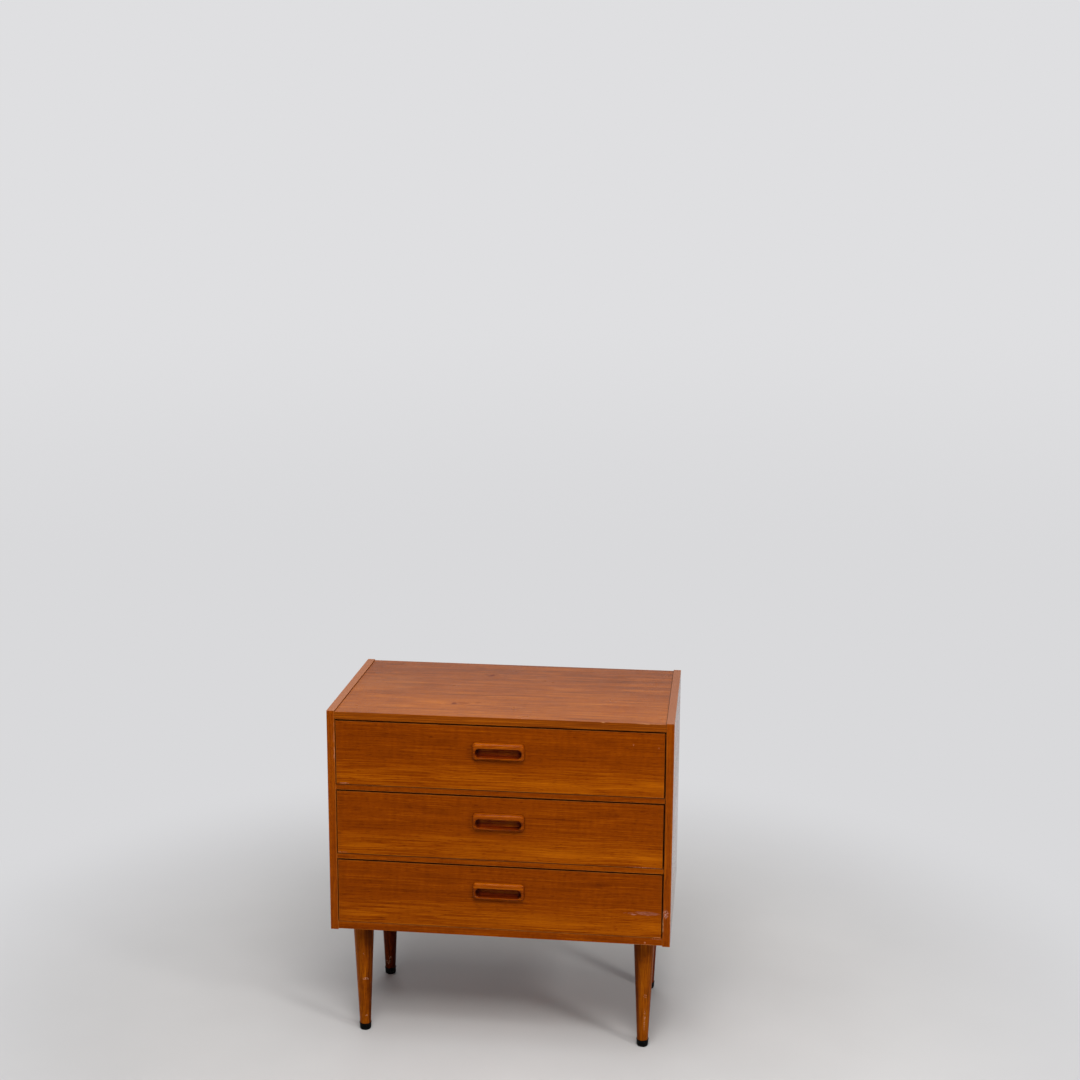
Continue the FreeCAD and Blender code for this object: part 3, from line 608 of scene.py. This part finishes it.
def dress_fronts():
    """The fronts are cut from one flitch, so they share their figure but for small shifts."""
    for order, name in enumerate(DRAWERS):
        low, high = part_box(f"{name}_front")

        def stripes(s, low=low):
            return s.add(0.6, s.times(s.fade(s.z, low.z + 60 * MM, low.z + 25 * MM), 0.40))

        def mottles(s, low=low):
            return s.add(0.4, s.times(s.fade(s.z, low.z + 45 * MM, low.z + 85 * MM), 1.1))

        material = wood_finish(
            f"teak_front_{name}",
            TEAK_FRONT,
            "x",
            FLITCH_SEED + FLITCH_SHIFT * order,
            tone=front_tone(low, high, FRONT_TONES[name]),
            box=(low, high),
            marks=front_marks(name, low, high),
            shares=(stripes, mottles),
            shade_and_dust=front_painted_shade(name, low, high),
            base_z=low.z,
        )
        dress(f"{name}_front", material)


KNOTS = (
    Knot(-55 * MM, 110 * MM, 34 * MM, 16 * MM),
    Knot(-104 * MM, -104 * MM, 46 * MM, 20 * MM),
)
KNOT_DARK = (98, 46, 36)


class Stain(NamedTuple):
    """A soft-edged change of colour on the top, from a knot or where something stood."""

    x: float
    y: float
    reach_x: float
    reach_y: float
    color: tuple
    strength: float


TOP_STAINS = (
    Stain(-262 * MM, 26 * MM, 90 * MM, 90 * MM, (170, 112, 70), 0.12),
    Stain(224 * MM, 110 * MM, 50 * MM, 50 * MM, (84, 40, 22), 0.14),
    Stain(236 * MM, -107 * MM, 56 * MM, 56 * MM, (122, 52, 12), 0.16),
    Stain(-140 * MM, -120 * MM, 100 * MM, 100 * MM, (176, 98, 30), 0.12),
    Stain(-146 * MM, -101 * MM, 52 * MM, 17 * MM, (198, 116, 44), 0.16),
    Stain(-62 * MM, -88 * MM, 70 * MM, 26 * MM, (196, 114, 44), 0.14),
)
KNOT_TAILS = (
    Stain(-84 * MM, -100 * MM, 19 * MM, 7 * MM, KNOT_DARK, 0.5),
    Stain(-56 * MM, -94 * MM, 9 * MM, 9 * MM, KNOT_DARK, 0.26),
    Stain(-60 * MM, 102 * MM, 7 * MM, 9 * MM, KNOT_DARK, 0.35),
)

# Pale lines along the grain: how far back each lies, and how wide it fades to either side.
PALE_LINES = ((31 * MM, 7 * MM), (-26 * MM, 6 * MM))
LIPPING = (124, 56, 0)
LIPPING_DARK = (90, 32, 0)
LIPPING_LIGHT = (176, 92, 6)


def top_marks(low, high):
    """Dirt in the joints beside the top, its stains, and its knots with their tails."""

    def spot(stain):
        reach = (stain.reach_x, stain.reach_y, SKIN_DEPTH)
        return Mark((stain.x, stain.y, high.z), reach, stain.color, 1.0, strength=stain.strength)

    joint = (1.3 * MM, 0.6, SKIN_DEPTH)
    hearts = [Stain(knot.x, knot.y, 7 * MM, 9 * MM, KNOT_DARK, 0.75) for knot in KNOTS]
    marks = [Mark((x, 0.0, high.z), joint, GRIME_AND_SHADE, 1.0) for x in (low.x, high.x)]
    marks += [spot(stain) for stain in TOP_STAINS]
    marks += [spot(stain) for stain in hearts]
    marks += [spot(stain) for stain in KNOT_TAILS]
    return marks


def lipping_marks(low, high):
    """The lipping along the top's front edge, with level grain and two rubbed places, pale with wear and
    with a painted highlight.
    """
    middle = ((low.x + high.x) / 2.0, low.y, (low.z + high.z) / 2.0)
    reach = (0.7, 1.0 * MM, 16 * MM)
    marks = [
        Mark(middle, reach, LIPPING, 1.0, strength=0.92),
        Mark(middle, reach, LIPPING_DARK, 0.5, (4.0, 900.0, 420.0), 0.55),
        Mark(middle, reach, LIPPING_LIGHT, 0.5, (5.0, 900.0, 560.0), 0.55),
    ]
    # The rubbed places: pale wear together with a painted highlight on the edge.
    for x, wide in ((209 * MM, 5 * MM), (304 * MM, 34 * MM)):
        rub = (wide, 1.6 * MM, 1.4 * MM)
        marks.append(Mark((x, low.y, high.z), rub, RUBBED_PALE_AND_SHEEN, 0.75, LONG_STREAKY, 0.6))
    return marks


def dress_top():
    """The top: its back half weathered duller, its front edge darker, two pale lines in it."""
    low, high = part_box("top_panel")
    weathered = smooth_tone(low.y, high.y, 0.62, 0.36, "y")

    def tone(s):
        edge = s.fade(s.y, low.y + 0.8 * MM, low.y + 0.2 * MM)
        lines = []
        for y, reach in PALE_LINES:
            off = s.maths("ABSOLUTE", s.maths("SUBTRACT", s.y, y))
            lines.append(s.fade(off, reach, 0.0))
        return s.add(weathered(s), s.times(edge, -0.26), s.times(s.add(*lines), 0.10))

    marks = top_marks(low, high) + lipping_marks(low, high)
    material = wood_finish("teak_top", TEAK_TOP, "x", 35.0, tone, (low, high), marks, knots=KNOTS)
    dress("top_panel", material)


SIDE_TOPS = {"left_side": (158, 106, 78), "right_side": (144, 98, 75)}


def side_end_mark(node, low, high):
    """The bleached upper end of a side."""
    middle = ((low.x + high.x) / 2.0, (low.y + high.y) / 2.0, high.z)
    return Mark(middle, (20 * MM, 0.7, 0.8 * MM), SIDE_TOPS[node], 1.0, strength=0.8)


def left_side_marks(low, high):
    """The left side: its upper end, and its front edge rubbed pale along the top drawer."""
    strip = (high.x - 1.2 * MM, low.y, 648 * MM)
    return [
        side_end_mark("left_side", low, high),
        Mark(strip, (2.2 * MM, FACE_DEPTH, 60 * MM), PALE_CHIP, 0.5, UPRIGHT_STREAKY, 0.8),
    ]


def right_side_marks(low, high):
    """The right side: its upper end, painted shade in the gap by the drawers, a pale strip of wear and
    painted reflection low on its outer face, rubs near its foot.
    """
    gap = (low.x + 0.1 * MM, low.y, 490 * MM)
    knock = (low.x + 6 * MM, low.y, 322 * MM)
    inner = (low.x + 1.0 * MM, low.y, 294 * MM)
    outer = (high.x, low.y + 1 * MM, 286 * MM)
    foot = (low.x + 8 * MM, low.y, low.z)
    return [
        side_end_mark("right_side", low, high),
        # Painted shade: a dark line in the gap beside the drawers.
        Mark(gap, (1.6 * MM, 4 * MM, 300 * MM), GRIME_AND_SHADE, 1.0, strength=0.9),
        Mark(knock, (7 * MM, FACE_DEPTH, 11 * MM), WHITE_SCRAPE, 0.55, (400.0, 500.0, 260.0)),
        Mark(inner, (1.3 * MM, 2 * MM, 28 * MM), WORN_EDGE, 0.6, (900.0, 900.0, 120.0), 0.8),
        # Wear and a painted reflection: a pale strip low on the outer face.
        Mark(outer, (2 * MM, 8 * MM, 58 * MM), RUBBED_PALE_AND_SHEEN, 0.6, (300.0, 300.0, 70.0), 0.5),
        Mark(foot, (11 * MM, 2 * MM, 1.3 * MM), RUBBED_EDGE, 0.75, LONG_STREAKY, 0.5),
    ]


def dress_sides():
    """The two sides, their outer faces polished, the more so towards the foot."""
    for node, seed, level in (("left_side", 21.0, 0.48), ("right_side", 27.0, 0.52)):
        low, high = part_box(node)
        if node == "left_side":
            outer_x, inward = low.x, 1.0
            marks = left_side_marks(low, high)
        else:
            outer_x, inward = high.x, -1.0
            marks = right_side_marks(low, high)

        def polish(s, outer_x=outer_x, inward=inward):
            outside = s.fade(s.x, outer_x + inward * 1.0 * MM, outer_x + inward * 0.2 * MM)
            return s.times(outside, s.add(0.31, s.times(s.fade(s.z, 300 * MM, 600 * MM), -0.08)))

        box = (low, high)
        dress(node, wood_finish(f"teak_{node}", TEAK_SIDE, "z", seed, level, box, marks, polish=polish))


def dress_ledges():
    """The rails and the bottom, each with painted shade on the narrow ledge under a drawer's front."""
    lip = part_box("bottom_panel")[0]
    rub = ((296 * MM, lip.y, lip.z), (44 * MM, 1.6 * MM, 1.3 * MM))
    split = ((323 * MM, lip.y, 267.5 * MM), (14 * MM, 1.6 * MM, 1.4 * MM))
    fleck = ((299 * MM, lip.y, 258.5 * MM), (2.6 * MM, FACE_DEPTH, 2.6 * MM))
    chips = [
        Mark(*rub, RUBBED_EDGE, 0.75, (60.0, 900.0, 900.0), 0.5),
        Mark(*split, (182, 142, 118), 0.5, strength=0.6),
        Mark(*fleck, PALE_CHIP, 0.8, strength=0.7),
    ]
    # The last number in each row is how dark the painted shade on its ledge is.
    ledges = (
        ("bottom_panel", 41.0, 0.44, chips, 0.36),
        ("upper_rail", 47.0, 0.44, (), 0.80),
        ("lower_rail", 53.0, 0.54, (), 0.80),
    )
    for node, seed, tone, marks, ledge_shade in ledges:
        low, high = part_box(node)

        def shade_and_dust(s, low=low, high=high, ledge_shade=ledge_shade):
            # Painted shade on the ledge's top face, just behind its front edge.
            upward = s.fade(s.z, high.z - 1.2 * MM, high.z - 0.3 * MM)
            return s.times(upward, s.fade(s.y, low.y + 6 * MM, low.y + 2 * MM), ledge_shade)

        dress(node, wood_finish(f"teak_{node}", TEAK_EDGE, "x", seed, tone, (low, high), marks, shade_and_dust=shade_and_dust))


def dress_back():
    """The back: plywood with two faint stains and a rubbed streak."""
    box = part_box("back_panel")
    back_y = box[1].y
    stain = ((-190 * MM, back_y, 420 * MM), (70 * MM, 5 * MM, 52 * MM))
    tide = ((150 * MM, back_y, 610 * MM), (120 * MM, 5 * MM, 26 * MM))
    rub = ((40 * MM, back_y, 330 * MM), (90 * MM, 5 * MM, 6 * MM))
    marks = [
        Mark(*stain, (140, 98, 56), 1.0, strength=0.20),
        Mark(*tide, (150, 108, 66), 1.0, strength=0.15),
        Mark(*rub, (228, 200, 160), 0.5, (60.0, 60.0, 900.0), 0.6),
    ]
    dress("back_panel", wood_finish("ply_back", PLY, "x", 59.0, 0.45, box, marks))


def corner_dust(low, high):
    """Dust that has settled on a drawer's bottom along its four walls."""

    def shade_and_dust(s):
        off_x = s.maths("SUBTRACT", high.x, s.maths("ABSOLUTE", s.x))
        off_y = s.maths("MINIMUM", s.maths("SUBTRACT", s.y, low.y), s.maths("SUBTRACT", high.y, s.y))
        near = s.add(s.maths("MINIMUM", off_x, off_y), s.swing(s.place, (50.0, 50.0, 50.0), 14 * MM))
        return s.times(s.fade(near, 26 * MM, 4 * MM), 0.22)

    return shade_and_dust


def dress_drawers():
    """The drawers' pale boxes."""
    for order, name in enumerate(DRAWERS):
        for side, offset in (("left_side", 0.0), ("right_side", 5.0)):
            node = f"{name}_{side}"
            seed = 61.0 + 7.0 * order + offset
            dress(node, wood_finish(f"birch_{node}", BIRCH, "y", seed, 0.5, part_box(node)))
        node = f"{name}_back"
        dress(node, wood_finish(f"birch_{node}", BIRCH, "x", 83.0 + 3.0 * order, 0.47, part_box(node)))
        node = f"{name}_bottom"
        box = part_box(node)
        dust = corner_dust(*box)
        dress(node, wood_finish(f"ply_{node}", PLY, "x", 97.0 + 3.0 * order, 0.55, box, shade_and_dust=dust))


def dress_fixings():
    """Runners, stops and dowels in beech; plates, bolts, screws, nails and pins in steel."""
    for order, node in enumerate(sorted(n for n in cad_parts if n.endswith("_runner"))):
        dress(node, wood_finish(f"beech_{node}", BEECH, "y", 111.0 + 2.0 * order, 0.5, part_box(node)))
    beech = wood_finish("beech_small", BEECH, "x", 121.0)
    for node in ("drawer_stops", "panel_dowels", "rail_dowels"):
        dress(node, beech)
    steel = steel_finish("plated_steel", 3.0)
    bright = steel_finish("screw_steel", 5.0, (168, 166, 158))
    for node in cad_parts:
        if node.endswith("_leg_plate"):
            dress(node, steel)
        elif node.endswith(("_screws", "_bolts", "_nails", "_pins")):
            dress(node, bright)


# ---------------------------------------------------------------------------
# Pieces modelled here
# ---------------------------------------------------------------------------


def add_piece(name, mesh_builder, material, body, node):
    """Makes an object from a bmesh, gives it its finish and lets it stand for a CAD node."""
    mesh = bpy.data.meshes.new(name)
    bm = bmesh.new()
    mesh_builder(bm)
    bmesh.ops.recalc_face_normals(bm, faces=bm.faces)
    bm.to_mesh(mesh)
    bm.free()
    for face in mesh.polygons:
        face.use_smooth = True
    mesh.set_sharp_from_angle(angle=math.radians(40.0))
    mesh.materials.append(material)
    obj = bpy.data.objects.new(name, mesh)
    bpy.context.scene.collection.objects.link(obj)
    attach(obj, body)
    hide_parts(node)
    return obj


def bridge(bm, first, second):
    """Faces between two closed rings of as many points."""
    count = len(first)
    for i in range(count):
        j = (i + 1) % count
        bm.faces.new((first[i], first[j], second[j], second[i]))


def loft(bm, rings):
    """A closed skin through rings of points, with a face on each end."""
    made = [[bm.verts.new(point) for point in ring] for ring in rings]
    for first, second in zip(made, made[1:]):
        bridge(bm, first, second)
    bm.faces.new(reversed(made[0]))
    bm.faces.new(made[-1])


def turned_ring(x, y, z, radius, count=72):
    """A level circle of points."""
    steps = [2.0 * math.pi * i / count for i in range(count)]
    return [Vector((x + radius * math.cos(t), y + radius * math.sin(t), z)) for t in steps]


def rounded_profile(points, radius, steps=5):
    """A (radius, height) line whose inner corners are rounded off."""
    line = [points[0]]
    for before, corner, after in zip(points, points[1:], points[2:]):
        corner = Vector(corner)
        back = Vector(before) - corner
        ahead = Vector(after) - corner
        reach = min(radius, 0.45 * back.length, 0.45 * ahead.length)
        start = corner + back.normalized() * reach
        end = corner + ahead.normalized() * reach
        for i in range(steps + 1):
            t = i / steps
            line.append(tuple(start * (1 - t) ** 2 + corner * 2 * t * (1 - t) + end * t ** 2))
    line.append(points[-1])
    return line


class Scuff(NamedTuple):
    """A pale bare spot on a leg: how far to the side of its front line, its height and its size."""

    side: float
    z: float
    wide: float = 5 * MM
    tall: float = 3 * MM
    strength: float = 1.0


LEG_FOOT_RADIUS = 11.2 * MM

# How light each leg is, the rear ones darker as painted shade, and by how much its outer side is lighter as
# painted light.
LEG_TONES = {"front_left": 0.55, "front_right": 0.54, "rear_left": 0.18, "rear_right": 0.30}
LEG_OUTER_LIGHT = {"front_left": 0.30, "front_right": 0.0, "rear_left": 0.10, "rear_right": 0.0}
LEG_SCUFFS = {
    "front_left": (
        Scuff(0.38, 120 * MM, 9 * MM, 4.5 * MM),
        Scuff(0.15, 178 * MM, 4 * MM, 5 * MM, 0.5),
        Scuff(0.40, 34 * MM, 3 * MM, 3 * MM, 0.8),
    ),
    "front_right": (
        Scuff(0.30, 117 * MM, 5 * MM, 5 * MM),
        Scuff(0.30, 62 * MM, 2.5 * MM, 32 * MM, 0.8),
    ),
    "rear_left": (
        Scuff(0.15, 42 * MM, 7 * MM, 6 * MM, 1.8),
        Scuff(-0.15, 31 * MM, 7 * MM, 7 * MM, 1.6),
    ),
    "rear_right": (Scuff(0.20, 60 * MM),),
}
BARE_WOOD = (214, 168, 140)


def make_leg(corner, seed):
    """A turned, tapered leg: its top edge eased, its foot in the glide's cup, its inner side darker as
    painted shade.
    """
    node = f"{corner}_leg"
    low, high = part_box(node)
    x = (low.x + high.x) / 2.0
    y = (low.y + high.y) / 2.0
    top_radius = (high.x - low.x) / 2.0
    taper_steps = 48
    core = 0.5 * MM

    def radius_at(z):
        share = (z - low.z) / (high.z - low.z)
        return LEG_FOOT_RADIUS + (top_radius - LEG_FOOT_RADIUS) * share

    def build(bm):
        heights = [low.z + (high.z - low.z) * i / taper_steps for i in range(taper_steps + 1)]
        shoulder = high.z - 1.2 * MM
        profile = [(core, low.z), (radius_at(low.z) - 0.6 * MM, low.z)]
        profile += [(radius_at(z), z) for z in heights[1:-1]]
        profile += [(radius_at(shoulder), shoulder), (top_radius - 0.5 * MM, high.z - 0.3 * MM)]
        profile += [(top_radius - 1.2 * MM, high.z), (core, high.z)]
        loft(bm, [turned_ring(x, y, z, radius) for radius, z in profile])

    marks = []
    for scuff in LEG_SCUFFS[corner]:
        radius = radius_at(scuff.z)
        spot = (x + scuff.side * radius, y - math.sqrt(1 - scuff.side ** 2) * radius, scuff.z)
        reach = (scuff.wide, 5 * MM, scuff.tall)
        marks.append(Mark(spot, reach, BARE_WOOD, 0.42, (420.0, 420.0, 620.0), scuff.strength))
    inward = -1.0 if x > 0.0 else 1.0

    # Painted shade on the side turned in under the chest, and painted light on the outer side.
    def tone(s):
        across = s.times(s.maths("SUBTRACT", s.x, x), inward / top_radius)
        inner = s.fade(across, 0.15, 0.65)
        outer = s.fade(across, -0.25, -0.75)
        return s.add(LEG_TONES[corner], s.times(inner, -0.45), s.times(outer, LEG_OUTER_LIGHT[corner]))

    # The rear legs take the darker copy, as painted shade.
    wood = TEAK_TURNED_SHADED if corner.startswith("rear") else TEAK_TURNED
    material = wood_finish(f"teak_leg_{corner}", wood, "z", seed, tone, None, marks)
    add_piece(f"turned_leg_{corner}", build, material, "carcass", node)


def make_glide(corner, seed):
    """A black plastic cup on the leg's foot, its rim a little proud."""
    node = f"{corner}_glide"
    low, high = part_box(node)
    x = (low.x + high.x) / 2.0
    y = (low.y + high.y) / 2.0
    rim = (high.x - low.x) / 2.0
    waist = rim - 0.7 * MM

    def build(bm):
        outline = [
            (0.5 * MM, low.z + 1.5 * MM),
            (3.0 * MM, low.z + 1.5 * MM),
            (3.4 * MM, low.z),
            (waist - 1.0 * MM, low.z),
            (waist, low.z + 3.5 * MM),
            (waist, high.z - 3.0 * MM),
            (rim, high.z - 2.0 * MM),
            (rim, high.z),
            (rim - 1.25 * MM, high.z),
            (rim - 1.45 * MM, high.z - 2.0 * MM),
            (0.5 * MM, high.z - 2.0 * MM),
        ]
        profile = rounded_profile(outline, 1.6 * MM)
        loft(bm, [turned_ring(x, y, z, radius) for radius, z in profile])

    material = plastic_finish(f"black_plastic_{corner}", seed, low.z)
    add_piece(f"cup_glide_{corner}", build, material, "carcass", node)


def oblong_ring(half_x, half_z, radius, x, z, y, corner_steps=12, long_steps=14, short_steps=2):
    """A rounded oblong of points in an upright plane, the same count whatever its sizes."""
    radius = min(radius, 0.97 * half_x, 0.97 * half_z)
    flat_x = half_x - radius
    flat_z = half_z - radius
    points = []
    corners = ((1, 1, 0.0), (-1, 1, 90.0), (-1, -1, 180.0), (1, -1, 270.0))
    for index, (sign_x, sign_z, start) in enumerate(corners):
        for i in range(corner_steps + 1):
            t = math.radians(start + 90.0 * i / corner_steps)
            points.append((sign_x * flat_x + radius * math.cos(t), sign_z * flat_z + radius * math.sin(t)))
        following = corners[(index + 1) % 4]
        steps = long_steps if index % 2 == 0 else short_steps
        turn = math.radians(following[2] if index < 3 else 360.0)
        end = (
            following[0] * flat_x + radius * math.cos(turn),
            following[1] * flat_z + radius * math.sin(turn),
        )
        begin = points[-1]
        for i in range(1, steps):
            t = i / steps
            points.append((begin[0] + (end[0] - begin[0]) * t, begin[1] + (end[1] - begin[1]) * t))
    return [Vector((x + px, y, z + pz)) for px, pz in points]


def blend_rings(first, second, share):
    """A ring between two rings of as many points, without their y."""
    return [(a.x + (b.x - a.x) * share, a.z + (b.z - a.z) * share) for a, b in zip(first, second)]


def crown_depth(share):
    """How far the frame's skin lies behind its highest line, from outer edge (0) to mouth (1)."""
    shoulder = 0.80
    lip = 0.86
    if share < shoulder:
        off = 1.0 - share / shoulder
        return 4.8 * MM * (1.0 - math.sqrt(1.0 - off ** 2))
    if share > lip:
        off = (share - lip) / (1.0 - lip)
        return 1.4 * MM * (1.0 - math.sqrt(1.0 - off ** 2))
    return 0.0


def make_pull(name, seed):
    """A pull shaped from one block: a crowned oblong frame round a finger recess, on its plug."""
    node = f"{name}_pull"
    low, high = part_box(node)
    front_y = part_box(f"{name}_front")[0].y
    half_x = (high.x - low.x) / 2.0
    half_z = (high.z - low.z) / 2.0
    middle_z = (high.z + low.z) / 2.0
    end_bar = 6.0 * MM
    upper_bar = 10.5 * MM
    lower_bar = 5.0 * MM
    plug_wall = 3.5 * MM
    mouth_x = half_x - end_bar
    mouth_z = (2.0 * half_z - upper_bar - lower_bar) / 2.0
    mouth_middle = low.z + lower_bar + mouth_z
    face_y = low.y
    floor_y = low.y + 14.5 * MM
    crown_steps = (0.0, 0.015, 0.05, 0.11, 0.19, 0.29, 0.41, 0.54, 0.67, 0.80, 0.86, 0.92, 0.97, 0.995, 1.0)

    def mouth(inset, y):
        return oblong_ring(mouth_x - inset, mouth_z - inset, mouth_z - inset, 0.0, mouth_middle, y)

    def build(bm):
        outline = oblong_ring(half_x, half_z, PULL_CORNER, 0.0, middle_z, front_y)
        rings = [mouth(-plug_wall, high.y), mouth(-plug_wall, front_y), outline]
        for share in crown_steps:
            y = face_y + 0.1 * MM + crown_depth(share)
            rings.append([Vector((x, y, z)) for x, z in blend_rings(outline, mouth(0.0, 0.0), share)])
        rings.append(mouth(0.0, face_y + 6.0 * MM))
        rings.append(mouth(0.1 * MM, floor_y - 2.5 * MM))
        rings.append(mouth(0.8 * MM, floor_y - 0.8 * MM))
        rings.append(mouth(2.5 * MM, floor_y))
        rings.append(mouth(6.0 * MM, floor_y))
        loft(bm, rings)

    def frame_painted_light(s):
        """The frame's tone: its upper bar lighter as painted light from above, its ends and foot kept
        darker.
        """
        upper = s.fade(s.z, high.z - 14 * MM, high.z - 8 * MM)
        middle = s.fade(s.maths("ABSOLUTE", s.x), half_x - 1 * MM, half_x - 6 * MM)
        return s.add(0.39, s.times(upper, middle, 0.21))

    frame_finish = wood_finish(f"teak_pull_{name}", TEAK_PULL, "x", seed, frame_painted_light)

    def recess_painted_shade(s):
        """The recess's tone: darker at its ends and on its lower wall, as painted shade."""
        ends = s.fade(s.maths("ABSOLUTE", s.x), mouth_x - 12 * MM, mouth_x - 1 * MM)
        sill = s.fade(s.z, mouth_middle - mouth_z + 3 * MM, mouth_middle - mouth_z)
        return s.add(0.64, s.times(ends, -0.55), s.times(sill, -0.30))

    recess_finish = wood_finish(f"teak_recess_{name}", TEAK_RECESS, "x", seed + 1.0, recess_painted_shade)
    piece = add_piece(f"let_in_pull_{name}", build, frame_finish, name, node)
    piece.data.materials.append(recess_finish)
    play = 0.1 * MM
    for face in piece.data.polygons:
        across, along, up = face.center
        inside = abs(across) < mouth_x + play and abs(up - mouth_middle) < mouth_z + play
        if inside and face_y + 1.6 * MM < along < floor_y + 1.0 * MM:
            face.material_index = 1


# ---------------------------------------------------------------------------
# Camera, light and stage
# ---------------------------------------------------------------------------


def make_camera():
    """A camera at standing height, a little to the right and tipped down."""
    place = (0.43817, -3.30976, 1.71562)
    yaw = -0.113915
    pitch = 0.198518
    roll = -0.004971
    ahead = Vector((math.sin(yaw) * math.cos(pitch), math.cos(yaw) * math.cos(pitch), -math.sin(pitch)))
    level = Vector((math.cos(yaw), -math.sin(yaw), 0.0))
    under = ahead.cross(level)
    right = math.cos(roll) * level + math.sin(roll) * under
    down = -math.sin(roll) * level + math.cos(roll) * under
    data = bpy.data.cameras.new("camera")
    data.sensor_width = 36.0
    data.lens = 54.979
    camera = bpy.data.objects.new("camera", data)
    turn = Matrix((right, -down, -ahead)).transposed().to_4x4()
    camera.matrix_world = Matrix.Translation(place) @ turn
    bpy.context.scene.collection.objects.link(camera)
    bpy.context.scene.camera = camera


CHEST_MIDDLE = Vector((0.0, 0.0, 0.45))


def soft_light(name, at, size, power, color=(1.0, 1.0, 1.0)):
    """A large soft lamp that faces the chest."""
    data = bpy.data.lights.new(name, "AREA")
    data.shape = "RECTANGLE"
    data.size, data.size_y = size
    data.energy = power
    data.color = color
    lamp = bpy.data.objects.new(name, data)
    lamp.location = at
    aim = CHEST_MIDDLE - Vector(at)
    lamp.rotation_euler = aim.to_track_quat("-Z", "Y").to_euler()
    bpy.context.scene.collection.objects.link(lamp)


def light_scene():
    """A dim sky and four soft lamps: from above, from the front, from the right and from behind."""
    world = bpy.data.worlds.new("studio")
    world.use_nodes = True
    sky = world.node_tree.nodes["Background"]
    sky.inputs["Color"].default_value = (0.96, 0.97, 1.0, 1.0)
    sky.inputs["Strength"].default_value = 0.18
    bpy.context.scene.world = world
    soft_light("overhead", (0.0, -0.8, 3.2), (2.6, 2.2), 50.0)
    soft_light("key", (0.3, -2.2, 3.2), (1.8, 1.4), 75.0, (1.0, 0.985, 0.96))
    soft_light("window", (2.5, -1.8, 2.1), (0.5, 0.5), 28.0, (1.0, 0.99, 0.97))
    soft_light("rear_fill", (-0.4, 2.4, 3.2), (2.2, 1.4), 27.0)


def make_stage():
    """A pale floor that turns up into a backdrop all round, well away from the chest."""
    flat_radius = 4.2
    turn_radius = 1.6
    wall_height = 5.2
    flat_steps = 8
    turn_steps = 12
    profile = [(0.02, 0.0)] + [(flat_radius * i / flat_steps, 0.0) for i in range(1, flat_steps + 1)]
    for i in range(1, turn_steps + 1):
        t = math.radians(90.0 * i / turn_steps)
        profile.append((flat_radius + turn_radius * math.sin(t), turn_radius * (1.0 - math.cos(t))))
    profile.append((flat_radius + turn_radius, wall_height))
    mesh = bpy.data.meshes.new("backdrop")
    bm = bmesh.new()
    rings = []
    for radius, z in profile:
        ring = turned_ring(0.0, 0.0, z, radius, count=96)
        rings.append([bm.verts.new(point) for point in ring])
    for first, second in zip(rings, rings[1:]):
        bridge(bm, first, second)
    bm.faces.new(rings[0])
    bmesh.ops.recalc_face_normals(bm, faces=bm.faces)
    bm.to_mesh(mesh)
    bm.free()
    for face in mesh.polygons:
        face.use_smooth = True
    mesh.materials.append(stage_finish())
    backdrop = bpy.data.objects.new("backdrop", mesh)
    bpy.context.scene.collection.objects.link(backdrop)


def stage_finish():
    """Painted floor: pale, faintly clouded, matt."""
    s = Shader("pale_floor")
    cloud = s.noise(s.place, (1.6, 1.6, 1.6), detail=4.0)
    color = s.ramp(cloud, (0.3, srgb(191, 190, 190)), (0.7, srgb(199, 198, 198)))
    painted = s.node("BsdfDiffuse", Color=color).outputs[0]
    height = s.fade(s.z, 0.0, 1.2)
    shade = s.mix(height, srgb(217, 217, 219), srgb(223, 223, 225))
    glow = s.node("Emission", Color=shade, Strength=1.0).outputs[0]
    path = s.node("LightPath").outputs
    seen = s.maths("MAXIMUM", path["Is Camera Ray"], path["Is Glossy Ray"])
    seen = s.maths("MAXIMUM", seen, path["Is Transmission Ray"])
    far = s.fade(s.length(s.place), 0.6, 1.6)
    shown = s.node("MixShader")
    s.feed(shown.inputs[0], s.times(far, seen))
    s.feed(shown.inputs[1], painted)
    s.feed(shown.inputs[2], glow)
    output = s.node("OutputMaterial")
    s.feed(output.inputs["Surface"], shown.outputs[0])
    return s.material


def main():
    bpy.context.scene.view_settings.view_transform = "Standard"
    dress_fronts()
    dress_top()
    dress_sides()
    dress_ledges()
    dress_back()
    dress_drawers()
    dress_fixings()
    for order, corner in enumerate(CORNERS):
        make_leg(corner, 131.0 + 4.0 * order)
        make_glide(corner, 151.0 + order)
    for order, name in enumerate(DRAWERS):
        make_pull(name, 161.0 + 2.0 * order)
    make_camera()
    light_scene()
    make_stage()


main()
